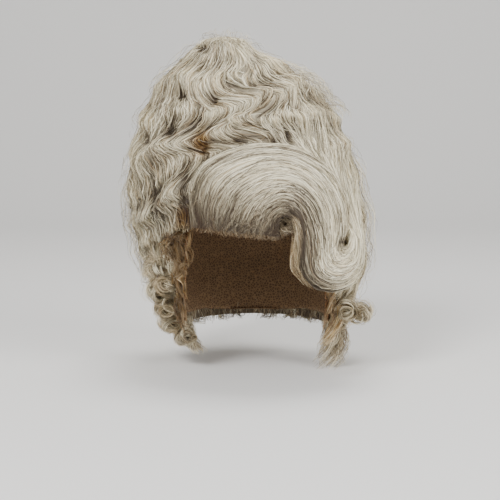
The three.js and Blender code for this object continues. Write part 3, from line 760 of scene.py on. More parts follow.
# How far out the locks and wisps stand, and their shade and warmth
def sweepLocks(station, turn):
    own = sweepShades
    across = 0.5 * np.cos(turn) + 0.5
    stray = np.sin(0.9 * station + 3 * np.cos(turn)) + 0.5 * np.sin(2.1 * station - 7 * np.cos(turn))
    place = (across + sweepBow(station, across)) * sweep["locks"] + sweep["lockWander"] * stray
    inLock = 2 * (place - np.floor(place)) - 1
    wispPlace = place * sweep["wispsInLock"]
    wisp = np.floor(wispPlace)
    inWisp = 2 * (wispPlace - wisp) - 1
    out = (sweep["lockHeight"] * (1 - inLock ** 2) * (0.4 + hashed(np.floor(place), 9))
           + sweep["wispHeight"] * (1 - inWisp ** 2) * (0.3 + 1.2 * hashed(wisp, 10)))
    patch = wisp + 17 * np.floor(0.45 * station + 2 * hashed(wisp, 11))
    shade = -own["lockEdge"] * np.abs(inLock) ** 6 + own["wisp"] * (hashed(patch, 12) - 0.5)
    # painted shade towards the hairline, over darker roots, beside the eye and in the pit
    at = sweepPoint(station, turn)
    low = nearHairline(at, station)
    shade = shade - own["hairline"] * low * (0.45 + 1.1 * hashed(wisp, 13))
    shade = shade - own["eye"] * np.exp(-(across / own["eyeWide"]) ** 2) * np.clip(5 - station, 0, 1)
    shade = shade - own["pit"] * cheekPit(at)
    # a dark line of painted shade winds out of the eye and down to the cheek curl, with light brown hair
    # inside it
    inFlow = risen(station, 3.2, 1.4) * risen(station, 10.8, -1.8)
    line = np.interp(station, column(darkLine, "station"), column(darkLine, "across"))
    shade = shade - own["line"] * inFlow * np.exp(-((across - line) / own["lineWide"]) ** 2)
    besideLine = (across - line - own["besideAway"]) / own["besideWide"]
    shade = shade - own["beside"] * inFlow * np.exp(-besideLine ** 2)
    warm = own["lineWarm"] * inFlow * np.clip((line - across) / 0.06, 0, 1)
    warm = np.maximum(warm, own["hairlineWarm"] * low ** 2 * hashed(wisp, 14))
    warm = np.maximum(warm, risen(low, 0.9, 0.08) * (0.4 + 0.5 * hashed(wisp, 14)))
    return out * (np.sin(turn) > 0), shade, warm


sweepMass = {"rows": 120, "cols": 130, "sunk": 0.0006, "tone": 0.38, "rearShade": 0.2}


def buildSweepMass():
    own = sweepMass
    rows, cols = own["rows"], own["cols"]
    stations = np.linspace(0.12, lastStation - 0.2, rows)
    turns = np.linspace(0, 2 * math.pi, cols, endpoint=False)
    turnGrid, stationGrid = np.meshgrid(turns, stations)
    out, shade, warm = sweepLocks(stationGrid, turnGrid)
    points = sweepPoint(stationGrid, turnGrid, out - own["sunk"])
    rear = np.sin(turnGrid) < 0
    # the rear half, which faces the head, gets painted shade
    tone = own["tone"] + shade - own["rearShade"] * rear
    verts = np.concatenate([points.reshape(-1, 3), [points[0].mean(axis=0), points[-1].mean(axis=0)]])
    faces = gridFaces(rows, cols)
    # both ends are closed by fans round the last two points
    j = np.arange(cols)
    after = (j + 1) % cols
    lastRing = (rows - 1) * cols
    fans = np.concatenate([
        np.stack([np.full(cols, len(verts) - 2), j, after], -1),
        np.stack([np.full(cols, len(verts) - 1), lastRing + after, lastRing + j], -1),
    ])
    triangles = np.concatenate([faces[:, [0, 1, 2]], faces[:, [0, 2, 3]], fans])
    tones = np.concatenate([tone.ravel(), [0.2, 0.3]])
    warms = np.concatenate([warm.ravel(), [0.4, 0]])
    flow = np.stack([0.5 * np.cos(turnGrid) + 0.5 + rear, stationGrid / lastStation], -1).reshape(-1, 2)
    flow = np.concatenate([flow, [[0, 0], [0, 1]]])
    makeMesh("sweepMass", verts, triangles, sweepMassMaterial, ["fringe_sweep"],
             tones, warms, flow)
    print(f"sweepMass: {len(triangles)} triangles")


buildSweepMass()


sweepStrands = {
    "count": 3700, "points": 24, "width": (0.0003, 0.0007), "lift": (-0.0002, 0.0016),
    "wrapRound": 0.2,           # share of the strands that run along its edges
    "fromHairline": 0.6,        # share that starts at the hairline
    "short": 0.09,              # share of those that ends soon
    "length": (3.2, 8.5), "shortLength": (0.5, 1.3),    # in stations
    "clear": 0.0008,            # least distance from the seat
    "frizz": 0.00022, "frizzWaves": (2, 6), "dark": 0.20, "light": 0.42, "brown": 0.5,
}


def buildSweepStrands():
    own = sweepStrands
    count = own["count"]
    turn = np.arccos(np.clip(2 * rng.uniform(0, 1, count) - 1, -1, 1))
    wrapRound = rng.uniform(0, 1, count) < own["wrapRound"]
    rim = rng.choice([0, math.pi], count) + rng.uniform(-0.6, 0.6, count)
    turn = np.where(wrapRound, rim, turn)
    fromHairline = rng.uniform(0, 1, count) < own["fromHairline"]
    start = np.where(fromHairline, -0.14 + 0.64 * rng.uniform(0, 1, count) ** 2.5, rng.uniform(0, 9, count))
    end = np.clip(start + rng.uniform(*own["length"], count), 1.5, lastStation)
    short = fromHairline & (rng.uniform(0, 1, count) < own["short"])
    end = np.where(short, start + rng.uniform(*own["shortLength"], count), end)
    along = np.linspace(0, 1, own["points"])
    stations = start[:, None] + (end - start)[:, None] * along
    wander = rng.normal(0, 0.11, (count, 1)) * np.sin(math.pi * along * rng.uniform(0.5, 2, (count, 1)))
    wander = wander + np.where(short, rng.normal(0, 0.15, count), 0)[:, None] * along
    across = 0.5 * np.cos(turn)[:, None] + 0.5
    bowed = np.arccos(np.clip(2 * (across - sweepBow(stations, across)) - 1, -1, 1))
    turns = np.where((~wrapRound)[:, None], bowed, turn[:, None]) + wander
    out, shade, warm = sweepLocks(stations, turns)
    lifts = rng.uniform(*own["lift"], count)[:, None] * np.sin(math.pi * np.clip(along, 0.05, 0.95)) + out
    paths = sweepPoint(stations, turns, lifts)
    outward = sweepOutward(stations, turns)
    paths = frizzed(paths, outward, own)
    # painted shade near the hairline, over darker roots, and painted light on the cheek curl
    tone = toneOf(count, own)[:, None] * (1 - 0.62 * nearHairline(paths, stations))
    tone = tone + shade + 0.14 * risen(stations, 7, 3)
    warm = warm * rng.uniform(0.3, 1.2, (count, 1))
    warm = np.maximum(warm, own["brown"] * rng.uniform(0, 1, (count, 1)) ** 6)
    hidden = seatClearance(paths) < own["clear"]
    keep = hidden.mean(axis=1) < 0.05
    hairPiece("sweepStrands", paths[keep], outward[keep], rng.uniform(*own["width"], count)[keep], tone[keep],
              warm[keep], twistRange=0.7)


buildSweepStrands()


# Hair that crosses from the crown to the sweep. angle is where it starts in degrees and wave in ridges, it
# comes waves further down, joins the sweep at the station for its x, and runs some stations on. leave and
# blend are the starts and lengths of the run and of the crossing, as shares of the strand.
covers = [
    # over the sweep's outer edge and on with it to the cheek curl
    {"name": "sweepCover", "count": 780, "points": 20, "width": (0.0003, 0.0007),
     "angle": (-76, -28), "wave": (3.8, 4.8), "waves": 1.6,
     "joinX": (0.020, 0.033, 0.062, 0.079, 0.095), "joinStation": (3.6, 4.0, 5.0, 6.0, 7.0),
     "run": (1.6, 3.4), "way": 1, "leave": (0.35, 0.65), "blend": (0.2, 0.4),
     "turn": (0.25, 1.35), "lift": (0.0006, 0.0026), "frizz": 0.0004, "frizzWaves": (1, 3),
     "dark": 0.16, "light": 0.42, "tone": 0.04, "relief": 0.7, "reliefFades": 1, "warm": 0.05},
    # over the end of the cheek curl and back round its rim, lighter there as painted light
    {"name": "cheekCover", "count": 620, "points": 18, "width": (0.0003, 0.0008),
     "angle": (-50, -12), "wave": (5.0, 5.7), "waves": 2.0,
     "joinX": (0.0,), "joinStation": (lastStation + 0.2,),
     "run": (2.0, 3.2), "way": -1, "leave": (0.42, 0.58), "blend": (0.22, 0.34),
     "turn": (0.3, 2.9), "lift": (0.0004, 0.0026), "frizz": 0.0004, "frizzWaves": (1, 3),
     "dark": 0.10, "light": 0.5, "tone": 0.1, "relief": 0.5, "reliefFades": 0, "warm": 0.03},
]


def buildCover(own):
    count = own["count"]
    along = np.linspace(0, 1, own["points"])
    strand = np.radians(rng.uniform(*own["angle"], (count, 1)))
    wave = rng.uniform(*own["wave"], (count, 1)) + own["waves"] * along
    over, outward, shade, _ = crownPoint(strand, wave, 0.001)
    station = np.interp(over[:, 8, 0], own["joinX"], own["joinStation"])[:, None]
    station = station + own["way"] * rng.uniform(*own["run"], (count, 1)) * risen(along, *own["leave"])
    turn = rng.uniform(*own["turn"], (count, 1))
    lift = rng.uniform(*own["lift"], (count, 1)) * np.sin(math.pi * np.clip(along, 0, 0.97))
    rim = sweepPoint(station, turn, lift)
    share = risen(along, *own["blend"])
    share = (share * share * (3 - 2 * share))[:, None]
    paths = over * (1 - share) + rim * share
    outward = unit(outward * (1 - share) + sweepOutward(station, turn) * share)
    paths = frizzed(paths, outward, own)
    tone = toneOf(count, own)[:, None] + own["tone"]
    # the crown's painted light and shade, fading as they join the sweep where reliefFades is 1, and painted
    # shade in the cheek pit
    tone = tone + own["relief"] * shade * (1 - own["reliefFades"] * share[:, 0])
    tone = tone - sweepShades["pit"] * cheekPit(paths)
    hairPiece(own["name"], paths, outward, rng.uniform(*own["width"], count), tone, 0 * tone + own["warm"])


for cover in covers:
    buildCover(cover)


eyeStrands = {
    "x": 0.026, "y": -0.0975, "z": -0.0585, "radius": 0.0095,
    "count": 300, "points": 13, "width": (0.00025, 0.0005),
    "wind": (2.2, 4.6),         # how far they wind, in radians
    "deeper": 0.010,            # how far they go back on the way
    "frizz": 0.0009, "frizzWaves": (1, 4), "dark": 0.6, "light": 0.08, "tone": 0.75, "warm": 0.3,
}


# Hair that winds into the eye of the sweep
def buildEyeStrands():
    own = eyeStrands
    count = own["count"]
    along = np.linspace(0, 1, own["points"])
    start = rng.uniform(0, 2 * math.pi, (count, 1))
    angle = start - rng.uniform(*own["wind"], (count, 1)) * along
    radius = own["radius"] * (1 - 0.85 * along) * rng.uniform(0.3, 1.1, (count, 1))
    depth = own["y"] + own["deeper"] * along + rng.uniform(-0.003, 0.003, (count, 1))
    paths = np.stack([own["x"] + radius * np.cos(angle), depth, own["z"] + radius * np.sin(angle)], -1)
    outward = frontward(paths)
    paths = frizzed(paths, outward, own)
    # darker as they wind deeper into the eye: painted shade
    tone = own["tone"] * toneOf(count, own)[:, None] - 0.2 * along
    hairPiece("eyeStrands", paths, outward, rng.uniform(*own["width"], count), tone, 0 * tone + own["warm"])


foreheadStrands = {
    "count": 190, "points": 14, "width": (0.00016, 0.00032),
    "x": 0.0305, "wide": 0.012, "top": (-0.081, -0.066), "bottom": (-0.119, -0.092),
    "front": 0.0022,            # how far in front of the sweep's middle they hang
    "bow": 0.003,               # how much further they may bow out
    "frizz": 0.0004, "frizzWaves": (1, 3), "dark": 0.2, "light": 0.3, "warm": (0.35, 0.8),
}


# Thin hairs that hang inside the sweep down to the cheek curl
def buildForeheadStrands():
    own = foreheadStrands
    count = own["count"]
    along = np.linspace(0, 1, own["points"])
    aside = rng.beta(1.5, 1.1, (count, 1))
    top = rng.uniform(*own["top"], (count, 1))
    bottom = rng.uniform(*own["bottom"], (count, 1)) - 0.006 * (aside - 1)
    x = own["x"] + own["wide"] * aside + 0.001 * np.sin(6 * along + 7 * aside)
    x = x + 0.05 * np.clip(along - 0.65, 0, 1) ** 1.6
    z = top + (bottom - top) * along
    y = sweep["wrap"] * x * x - sweep["stand"] - own["front"]
    y = y - rng.uniform(0, own["bow"], (count, 1)) * np.sin(math.pi * along)
    paths = np.stack([x, y, z], -1)
    outward = frontward(paths)
    paths = frizzed(paths, outward, own)
    hairPiece("foreheadStrands", paths, outward, rng.uniform(*own["width"], count), toneOf(count, own),
              rng.uniform(*own["warm"], count))


buildEyeStrands()
buildForeheadStrands()


# The barrel curls and the loose locks

curls = {"radius": 0.0105, "length": 0.024}
curlCores = {"rings": 10, "around": 22, "radius": 0.78, "half": 0.36, "warm": 0.25}
curlStrands = {
    "bundles": 7,               # wound in each curl
    "faceBundles": 3,           # more of them on the end that faces forward
    "inBundle": 26, "points": 15, "width": (0.0003, 0.0007),
    "tilt": 0.42,               # how far the bundles lean from the curl's own axis
    "wind": (3.5, 8.5),         # how far they wind, in radians
    "clear": -0.011,            # least distance from the seat, whose outline is rough beside the curls
    "frizz": 0.0004, "frizzWaves": (1, 4), "dark": 0.2, "light": 0.4, "warm": (0.05, 0.55),
}
curlFrizz = {
    "count": 130, "points": 10, "width": (0.0002, 0.00045),     # loose hairs round each curl
    "fan": (95, 255), "fanReach": (0.010, 0.021),   # the tuft on the highest curl, degrees and metres
    "clear": -0.003,
    "frizz": 0.0009, "frizzWaves": (1, 4), "dark": 0.15, "light": 0.55, "warm": (0.1, 0.55),
}
barrelCurls = [
    {"name": "right_side_curl_1", "x": -1.24, "y": -0.1, "z": 0.64, "size": 1.05, "length": 1.1, "turn": 24},
    {"name": "right_side_curl_2", "x": -1.09, "y": -0.21, "z": 0.72, "size": 0.95, "length": 1.0, "turn": 14},
    {"name": "right_side_curl_3", "x": -1.21, "y": -0.03, "z": 0.78, "size": 0.95, "length": 1.1, "turn": 20},
    {"name": "right_side_curl_4", "x": -1.1, "y": -0.1, "z": 0.87, "size": 0.95, "length": 1.1, "turn": 12},
    {"name": "right_side_curl_5", "x": -1.04, "y": 0.06, "z": 0.95, "size": 1.0, "length": 1.2, "turn": 18},
    {"name": "right_side_curl_6", "x": -0.85, "y": -0.02, "z": 1.03, "size": 0.95, "length": 1.2, "turn": 16},
    {"name": "left_side_curl_1", "x": 1.13, "y": -0.19, "z": 0.87, "size": 0.95, "length": 1.1, "turn": -10},
    {"name": "left_side_curl_2", "x": 1.3, "y": -0.12, "z": 0.89, "size": 0.95, "length": 1.1, "turn": -16},
    {"name": "left_side_curl_3", "x": 1.04, "y": -0.03, "z": 0.94, "size": 0.9, "length": 1.1, "turn": -8},
]
looseLocks = [
    {"name": "right_nape_lock", "x": -0.92, "y": 0.16, "z": 0.94, "tipX": -0.68, "tipY": 0.06, "tipZ": 1.13,
     "thick": 1.1, "spread": -0.5, "frizz": 0.0028, "dark": 0.2, "light": 0.3, "warm": 0.3},
    {"name": "left_front_lock", "x": 1.0, "y": -0.24, "z": 0.84, "tipX": 0.84, "tipY": -0.24, "tipZ": 1.05,
     "thick": 0.75, "spread": -0.4, "frizz": 0.0026, "dark": 0.12, "light": 0.6, "warm": 1.0,
     "slot": "blond_hair"},
    {"name": "left_nape_lock", "x": 0.96, "y": 0.14, "z": 0.94, "tipX": 0.9, "tipY": 0.02, "tipZ": 1.2,
     "thick": 1.0, "spread": 0.3, "frizz": 0.0065, "dark": 0.4, "light": 0.25, "warm": 0.4},
]


def curlFrame(curl):
    centre = np.array([curl["x"] * seat["breadth"] / 2, curl["y"] * seat["back"], -curl["z"] * crown["drop"]])
    heading = math.radians(curl["turn"])
    axis = np.array([-math.sin(heading), math.cos(heading), 0.0])
    side = np.array([math.cos(heading), math.sin(heading), 0.0])
    return centre, axis, side, np.array([0.0, 0.0, 1.0])


# Dark cores that close each curl behind its strands, painted shade inside the curl
def buildCurlCores():
    own = curlCores
    rings, around = own["rings"], own["around"]
    section = np.linspace(0, 2 * math.pi, rings, endpoint=False)
    turn = np.linspace(0, 2 * math.pi, around, endpoint=False)
    turnGrid, sectionGrid = np.meshgrid(turn, section)
    verts, faces, tones = [], [], []
    for number, curl in enumerate(barrelCurls):
        centre, axis, side, up = curlFrame(curl)
        radius = own["radius"] * curl["size"] * curls["radius"]
        half = own["half"] * curl["length"] * curls["length"]
        r = radius * (0.52 + 0.46 * np.cos(sectionGrid)) * (1 + 0.10 * np.sin(3 * turnGrid + number))
        spoke = np.cos(turnGrid)[..., None] * side + np.sin(turnGrid)[..., None] * up
        points = centre + r[..., None] * spoke + (half * np.sin(sectionGrid))[..., None] * axis
        grid = gridFaces(rings + 1, around) % (rings * around)
        faces.append(grid + len(verts) * rings * around)
        verts.append(points.reshape(-1, 3))
        # darker towards the middle, as painted shade deep in the curl
        tones.append((0.06 + 0.26 * r / radius).ravel())
    verts, faces = np.concatenate(verts), np.concatenate(faces)
    flow = np.tile(np.stack([sectionGrid / 6.28, turnGrid / 6.28], -1).reshape(-1, 2), (len(barrelCurls), 1))
    names = [curl["name"] for curl in barrelCurls]         # one piece stands for all the curls' solids
    makeMesh("curlCores", verts, faces, curlMassMaterial, names,
             np.concatenate(tones), np.full(len(verts), own["warm"]), flow)
    print(f"curlCores: {2 * len(faces)} triangles")


# Bundles of hair wound loosely round each curl, no two of them level
def buildCurlStrands():
    own = curlStrands
    paths, outwards, tones, warms = [], [], [], []
    count = own["inBundle"]
    along = np.linspace(0, 1, own["points"])
    for curl in barrelCurls:
        centre, axis, side, up = curlFrame(curl)
        radius = curl["size"] * curls["radius"]
        half = 0.5 * curl["length"] * curls["length"]
        for bundle in range(own["bundles"] + own["faceBundles"]):
            ownAxis = unit(axis + rng.normal(0, own["tilt"], 3))
            ownSide = unit(np.cross(up, ownAxis))
            ownUp = np.cross(ownAxis, ownSide)
            place = half * (2 * (bundle + 0.5) / own["bundles"] - 1)
            ring = radius * rng.uniform(0.5, 1.0)
            if bundle >= own["bundles"]:
                place = -half * rng.uniform(0.95, 1.15)
                ring = radius * rng.uniform(0.3, 0.8)
            middle = centre + axis * place + (side * rng.normal(0, 0.2) + up * rng.normal(0, 0.2)) * radius
            begin = rng.uniform(0, 2 * math.pi)
            wind = rng.uniform(*own["wind"]) * rng.choice([-1, 1])
            angle = begin + rng.normal(0, 0.35, (count, 1)) + wind * along * rng.uniform(0.8, 1.1, (count, 1))
            spiral = 1 - rng.uniform(0.1, 0.55) * along
            r = ring * spiral * (1 + rng.normal(0, 0.10, (count, 1))) + 0.0008 * np.sin(2 * angle + bundle)
            shift = rng.normal(0, 0.0012, (count, 1)) + rng.normal(0, 0.004) * along
            spoke = np.cos(angle)[..., None] * ownSide + np.sin(angle)[..., None] * ownUp
            paths.append(middle + r[..., None] * spoke + shift[..., None] * ownAxis)
            outwards.append(spoke)
            # bundles wound further out are lighter: painted light on the curl's rim and painted shade inside
            tones.append(toneOf(count, own) + rng.normal(0, 0.07) + 0.4 * (ring / radius - 0.65))
            warms.append(np.full(count, rng.uniform(*own["warm"])))
    path, out = np.concatenate(paths), np.concatenate(outwards)
    path = frizzed(path, out, own)
    clear = (seatClearance(path) > own["clear"]).all(axis=1)
    tone, warm = np.concatenate(tones), np.concatenate(warms)
    hairPiece("curlStrands", path[clear], out[clear], rng.uniform(*own["width"], clear.sum()), tone[clear],
              warm[clear])


# Loose hairs round the curls, and the tuft that fans out from the highest one
def buildCurlFrizz():
    own = curlFrizz
    paths, outwards = [], []
    count = own["count"]
    along = np.linspace(0, 1, own["points"])
    for curl in barrelCurls:
        centre, axis, side, up = curlFrame(curl)
        radius = curl["size"] * curls["radius"]
        half = 0.5 * curl["length"] * curls["length"]
        angle = rng.uniform(0, 2 * math.pi, (count, 1)) + rng.uniform(0.8, 3.0, (count, 1)) * along
        r = radius * (rng.uniform(0.2, 1.05, (count, 1)) + rng.uniform(0.0, 0.45, (count, 1)) * along)
        place = half * rng.uniform(-1.1, 1.0, (count, 1)) + rng.normal(0, 0.004, (count, 1)) * along
        spoke = np.cos(angle)[..., None] * side + np.sin(angle)[..., None] * up
        paths.append(centre + r[..., None] * spoke + place[..., None] * axis)
        outwards.append(spoke)
    centre, axis, side, up = curlFrame(barrelCurls[0])
    fan = np.radians(rng.uniform(*own["fan"], (2 * count, 1)))
    reach = rng.uniform(*own["fanReach"], (2 * count, 1)) * along
    bend = fan + rng.normal(0.4, 0.5, (2 * count, 1)) * along
    spoke = np.cos(bend)[..., None] * side + np.sin(bend)[..., None] * up
    root = centre - 0.8 * axis * 0.5 * curls["length"] + 0.004 * side
    paths.append(root + reach[..., None] * spoke - (0.003 * np.sin(math.pi * along))[None, :, None] * axis)
    outwards.append(np.zeros_like(spoke) - axis)
    path, out = np.concatenate(paths), np.concatenate(outwards)
    path = frizzed(path, out, own)
    clear = (seatClearance(path) > own["clear"]).all(axis=1)
    count = clear.sum()
    hairPiece("curlFrizz", path[clear], out[clear], rng.uniform(*own["width"], count), toneOf(count, own),
              rng.uniform(*own["warm"], count), twistRange=1.5)


buildCurlCores()
buildCurlStrands()
buildCurlFrizz()


lockHair = {"count": 460, "points": 14, "width": (0.0003, 0.00065), "turns": (0.6, 2.6)}


# Each lock as hairs that curl more and part further towards the tip
def buildLooseLocks():
    count = lockHair["count"]
    along = np.linspace(0, 1, lockHair["points"])
    for lock in looseLocks:
        side = seat["breadth"] / 2
        root = np.array([lock["x"] * side, lock["y"] * seat["back"], -lock["z"] * crown["drop"]])
        tip = np.array([lock["tipX"] * side, lock["tipY"] * seat["back"], -lock["tipZ"] * crown["drop"]])
        radius = lock["thick"] * curls["radius"]
        turn = rng.uniform(0, 2 * math.pi, count)
        out = np.sqrt(rng.uniform(0, 1, count)) * radius
        end = rng.uniform(0.4, 1.05, count)
        travel = end[:, None] * along
        shrink = 1 + lock["spread"] * travel
        turns = rng.uniform(*lockHair["turns"], count)[:, None] * 2 * math.pi
        phase = rng.uniform(0, 2 * math.pi, count)[:, None]
        wound = turns * travel + phase
        frizz = lock["frizz"] * np.stack([np.sin(wound), np.cos(wound)]) * travel
        x = np.cos(turn)[:, None] * out[:, None] * shrink + frizz[0]
        y = 1.2 * np.sin(turn)[:, None] * out[:, None] * shrink + frizz[1]
        middle = root + (tip - root) * travel[..., None]
        bow = math.copysign(0.4 * curls["radius"], lock["x"]) * np.sin(math.pi * travel)
        paths = middle + np.stack([x + bow, y, 0.4 * frizz[0]], -1)
        outward = np.stack([np.cos(turn), np.sin(turn), 0 * turn], -1)[:, None, :] + 0 * paths
        tone = toneOf(count, lock)
        warm = lock["warm"] * rng.uniform(0.3, 1.1, count)
        made = hairPiece(f"{lock['name']}_hair", paths, outward, rng.uniform(*lockHair["width"], count), tone,
                         warm)
        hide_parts(lock["name"])


buildLooseLocks()


temples = {
    "inBunch": 9, "points": 13, "width": (0.00022, 0.0005), "warm": (0.5, 1.0),
    "highestRoot": -0.0612, "lowest": -0.166,
}
# rooted between low and high, and between front and back of the lace's edge, lift is how far they stand off
templeBunches = [
    {"side": -1, "count": 98, "low": -0.147, "high": -0.0615, "front": -0.001, "back": 0.016, "lift": 0.008},
    {"side": -1, "count": 40, "low": -0.080, "high": -0.0615, "front": 0.008, "back": 0.024, "lift": 0.016},
    {"side": 1, "count": 38, "low": -0.147, "high": -0.0615, "front": -0.001, "back": 0.016, "lift": 0.008},
]


# Brown hair on the lace at the temples, in small bunches that curl down and forward
def buildTempleStrands():
    paths, tones = [], []
    each = temples["inBunch"]
    along = np.linspace(0, 1, temples["points"])
    edgeHeights, edgePlaces = -column(frontEdge, "z"), column(frontEdge, "y")
    for place in templeBunches:
        bunches = place["count"]
        count = bunches * each
        bunch = np.repeat(np.arange(bunches), each)
        shared = lambda low, high: rng.uniform(low, high, bunches)[bunch][:, None]
        own = lambda spread: rng.normal(0, spread, (count, 1))
        rootZ = np.minimum(shared(place["low"], place["high"]) + own(0.0012), temples["highestRoot"])
        rootY = np.interp(-rootZ, edgeHeights, edgePlaces) + own(0.0006)
        rootY = rootY + shared(place["front"], place["back"])
        turns = 2 * math.pi * shared(0.4, 2.3) * along + shared(0, 6.3) + own(0.25)
        loop = shared(0.001, 0.0042) * (1 + own(0.2)) * np.sqrt(along)
        z = rootZ - shared(0.005, 0.026) * along + loop * np.sin(turns)
        y = rootY - shared(-0.002, 0.004) * along + loop * (np.cos(turns) - 1)
        z = np.maximum(z, temples["lowest"])
        width, front, _ = seatReach(z)
        surface = width * np.sqrt(np.clip(1 - (y / front) ** 2, 0, 1))
        lift = 0.0016 + shared(0.0005, place["lift"]) * np.sin(0.85 * math.pi * along) * (1 + own(0.1))
        paths.append(np.stack([place["side"] * (surface + lift), y, z], -1))
        tones.append(shared(0.1, 0.55)[:, 0] + own(0.09)[:, 0])
    path = np.concatenate(paths)
    outward = unit(path * np.array([1, 1, 0]))
    count = len(path)
    hairPiece("templeStrands", path, outward, rng.uniform(*temples["width"], count), np.concatenate(tones),
              rng.uniform(*temples["warm"], count), 1.4)


napeEnds = {
    "bunches": 120, "count": 1320, "points": 9, "width": (0.0003, 0.0007),
    "longest": 0.0085,          # how far the bunches hang past the edge
    "clear": 0.002,             # least distance from the seat
    "frizz": 0.0009, "frizzWaves": (1, 3), "dark": 0.35, "light": 0.2, "warm": 0.15,
}


# Ends of the hair round the neck opening, in small bunches that turn under
def buildNapeEnds():
    own = napeEnds
    bunches, count = own["bunches"], own["count"]
    along = np.linspace(0, 1, own["points"])
    bunch = rng.integers(0, bunches, count)
    middle = rng.uniform(0, 2 * math.pi, bunches)
    strand = middle[bunch] + rng.normal(0, 0.035, count)
    wave = np.minimum(lastRidge - rng.uniform(0.3, 1.0, count)[:, None] * (1 - 1.6 * along), lastRidge)
    past = risen(along, 0.62, 0.38)
    gather = strand[:, None] + 0.6 * (middle[bunch] - strand)[:, None] * past
    paths, outward, shade, _ = crownPoint(gather, wave, 0.0006)
    drop = rng.uniform(0.0005, own["longest"], bunches)[bunch] * rng.uniform(0.4, 1.1, count)
    under = rng.uniform(0.02, 0.13, bunches)[bunch]
    lean = rng.normal(0, 0.05, bunches)[bunch]
    paths[..., 2] -= drop[:, None] * np.sin(0.5 * math.pi * past) * (1 - 0.4 * past)
    paths[..., :2] *= 1 - (under[:, None] * past ** 2)[..., None]
    x, y = paths[..., 0].copy(), paths[..., 1].copy()
    paths[..., 0] = x - lean[:, None] * past * y
    paths[..., 1] = y + lean[:, None] * past * x
    paths = frizzed(paths, outward, own)
    keep = (seatClearance(paths) > own["clear"]).all(axis=1)
    count = keep.sum()
    tone = toneOf(count, own)[:, None] + shade[keep] - 0.12 * along
    hairPiece("napeEnds", paths[keep], outward[keep], rng.uniform(*own["width"], count), tone,
              0 * tone + own["warm"])


innerNape = {
    "count": 620, "points": 6, "width": (0.0004, 0.0009), "root": (-0.156, -0.144), "length": (0.006, 0.017),
    "frizz": 0.0006, "frizzWaves": (0.5, 1.5), "tone": (0.42, 0.18), "warm": (0.0, 0.6),
}


# Short hair on the inside below the cap's edge
def buildInnerNape():
    own = innerNape
    count = own["count"]
    along = np.linspace(0, 1, own["points"])
    angle = rng.uniform(-0.1, math.pi + 0.1, (count, 1)) + rng.normal(0, 0.06, (count, 1)) * along
    z = rng.uniform(*own["root"], (count, 1)) - rng.uniform(*own["length"], (count, 1)) * along
    paths = seatPoint(angle, z, rng.uniform(0.0014, 0.0026, (count, 1)) - 0.001 * np.sin(math.pi * along))
    outward = unit(paths * np.array([1, 1, 0]))
    paths = frizzed(paths, outward, own)
    hairPiece("innerNape", paths, outward, rng.uniform(*own["width"], count), rng.normal(*own["tone"], count),
              rng.uniform(*own["warm"], count))


# Thin hairs that stand off the silhouette

flyaways = {
    "everywhere": 820,
    "reach": 0.0042,            # how far those stand off, in metres
    "points": 14, "width": (0.00018, 0.00038), "furthest": 0.0135,
    "clear": 0.002,             # least distance from the seat
    "frizz": 0.0009, "frizzWaves": (0.5, 2.5), "dark": 0.35, "light": 0.3, "warm": (0, 0.25),
    # bunches: where round the crown in degrees, within how many, how many ridges down, how many hairs, how
    # far they stand off
    "bunches": [
        {"angle": -8, "within": 16, "wave": (2.3, 4.0), "count": 190, "reach": 0.0115},
        {"angle": -4, "within": 16, "wave": (5.0, 8.2), "count": 120, "reach": 0.0085},
        {"angle": 184, "within": 16, "wave": (4.0, 8.2), "count": 170, "reach": 0.0080},
        {"angle": -90, "within": 75, "wave": (0.1, 1.4), "count": 110, "reach": 0.0090},
        {"angle": 200, "within": 16, "wave": (1.5, 3.5), "count": 60, "reach": 0.0080},
    ],
    # hairs that leave the surface at a ridge and hang beside it for a span of ridges
    "hanging": [
        {"angle": -6, "wave": (5.0, 6.2), "span": (1.2, 3.4), "count": 34, "reach": 0.0125},
        {"angle": 186, "wave": (4.4, 6.0), "span": (1.2, 3.4), "count": 34, "reach": 0.0120},
        {"angle": -10, "wave": (1.7, 2.6), "span": (0.8, 1.9), "count": 40, "reach": 0.0130},
    ],
}


def buildFlyaways():
    own = flyaways
    along = np.linspace(0, 1, own["points"])
    strand, wave = spreadOnCrown(own["everywhere"])
    reach = np.abs(rng.normal(0, own["reach"], len(strand))) + 0.0015
    for bunch in own["bunches"]:
        count = bunch["count"]
        strand = np.concatenate([strand, np.radians(bunch["angle"] + rng.normal(0, bunch["within"], count))])
        wave = np.concatenate([wave, rng.uniform(*bunch["wave"], count)])
        reach = np.concatenate([reach, bunch["reach"] * rng.uniform(0.25, 1.25, count)])
    span = rng.uniform(0.25, 1.1, len(strand))
    wave = wave - 0.5 * span
    close = np.ones(len(strand))
    for bunch in own["hanging"]:
        count = bunch["count"]
        strand = np.concatenate([strand, np.radians(bunch["angle"] + rng.normal(0, 9, count))])
        wave = np.concatenate([wave, rng.uniform(*bunch["wave"], count)])
        span = np.concatenate([span, rng.uniform(*bunch["span"], count)])
        reach = np.concatenate([reach, bunch["reach"] * rng.uniform(0.4, 1.0, count)])
        close = np.concatenate([close, np.zeros(count)])
    count = len(strand)
    waves = np.clip(wave[:, None] + span[:, None] * along, 0.03, lastRidge)
    strands = strand[:, None] + rng.normal(0, 0.14, count)[:, None] * along
    lifts = reach[:, None] * np.sin(math.pi * np.clip(along * rng.uniform(0.55, 1.0, count)[:, None], 0, 1))
    lifts = np.where(close[:, None] > 0, lifts, reach[:, None] * (1 - (1 - along) ** 3))
    paths, outward, _, _ = crownPoint(strands, waves, np.minimum(lifts, own["furthest"]))
    paths = frizzed(paths, outward, own)
    keep = (seatClearance(paths) > own["clear"]).all(axis=1)
    count = keep.sum()
    hairPiece("flyaways", paths[keep], outward[keep], rng.uniform(*own["width"], count), toneOf(count, own),
              rng.uniform(*own["warm"], count), twistRange=1.5)


buildFlyaways()


hairlineTips = {
    "count": 480, "points": 7, "width": (0.0002, 0.0005), "length": (0.002, 0.0055),
    "station": (-0.1, 0.3),     # where on the sweep they are rooted
    "tone": 0.55, "dark": 0.5, "light": 0.1,
}


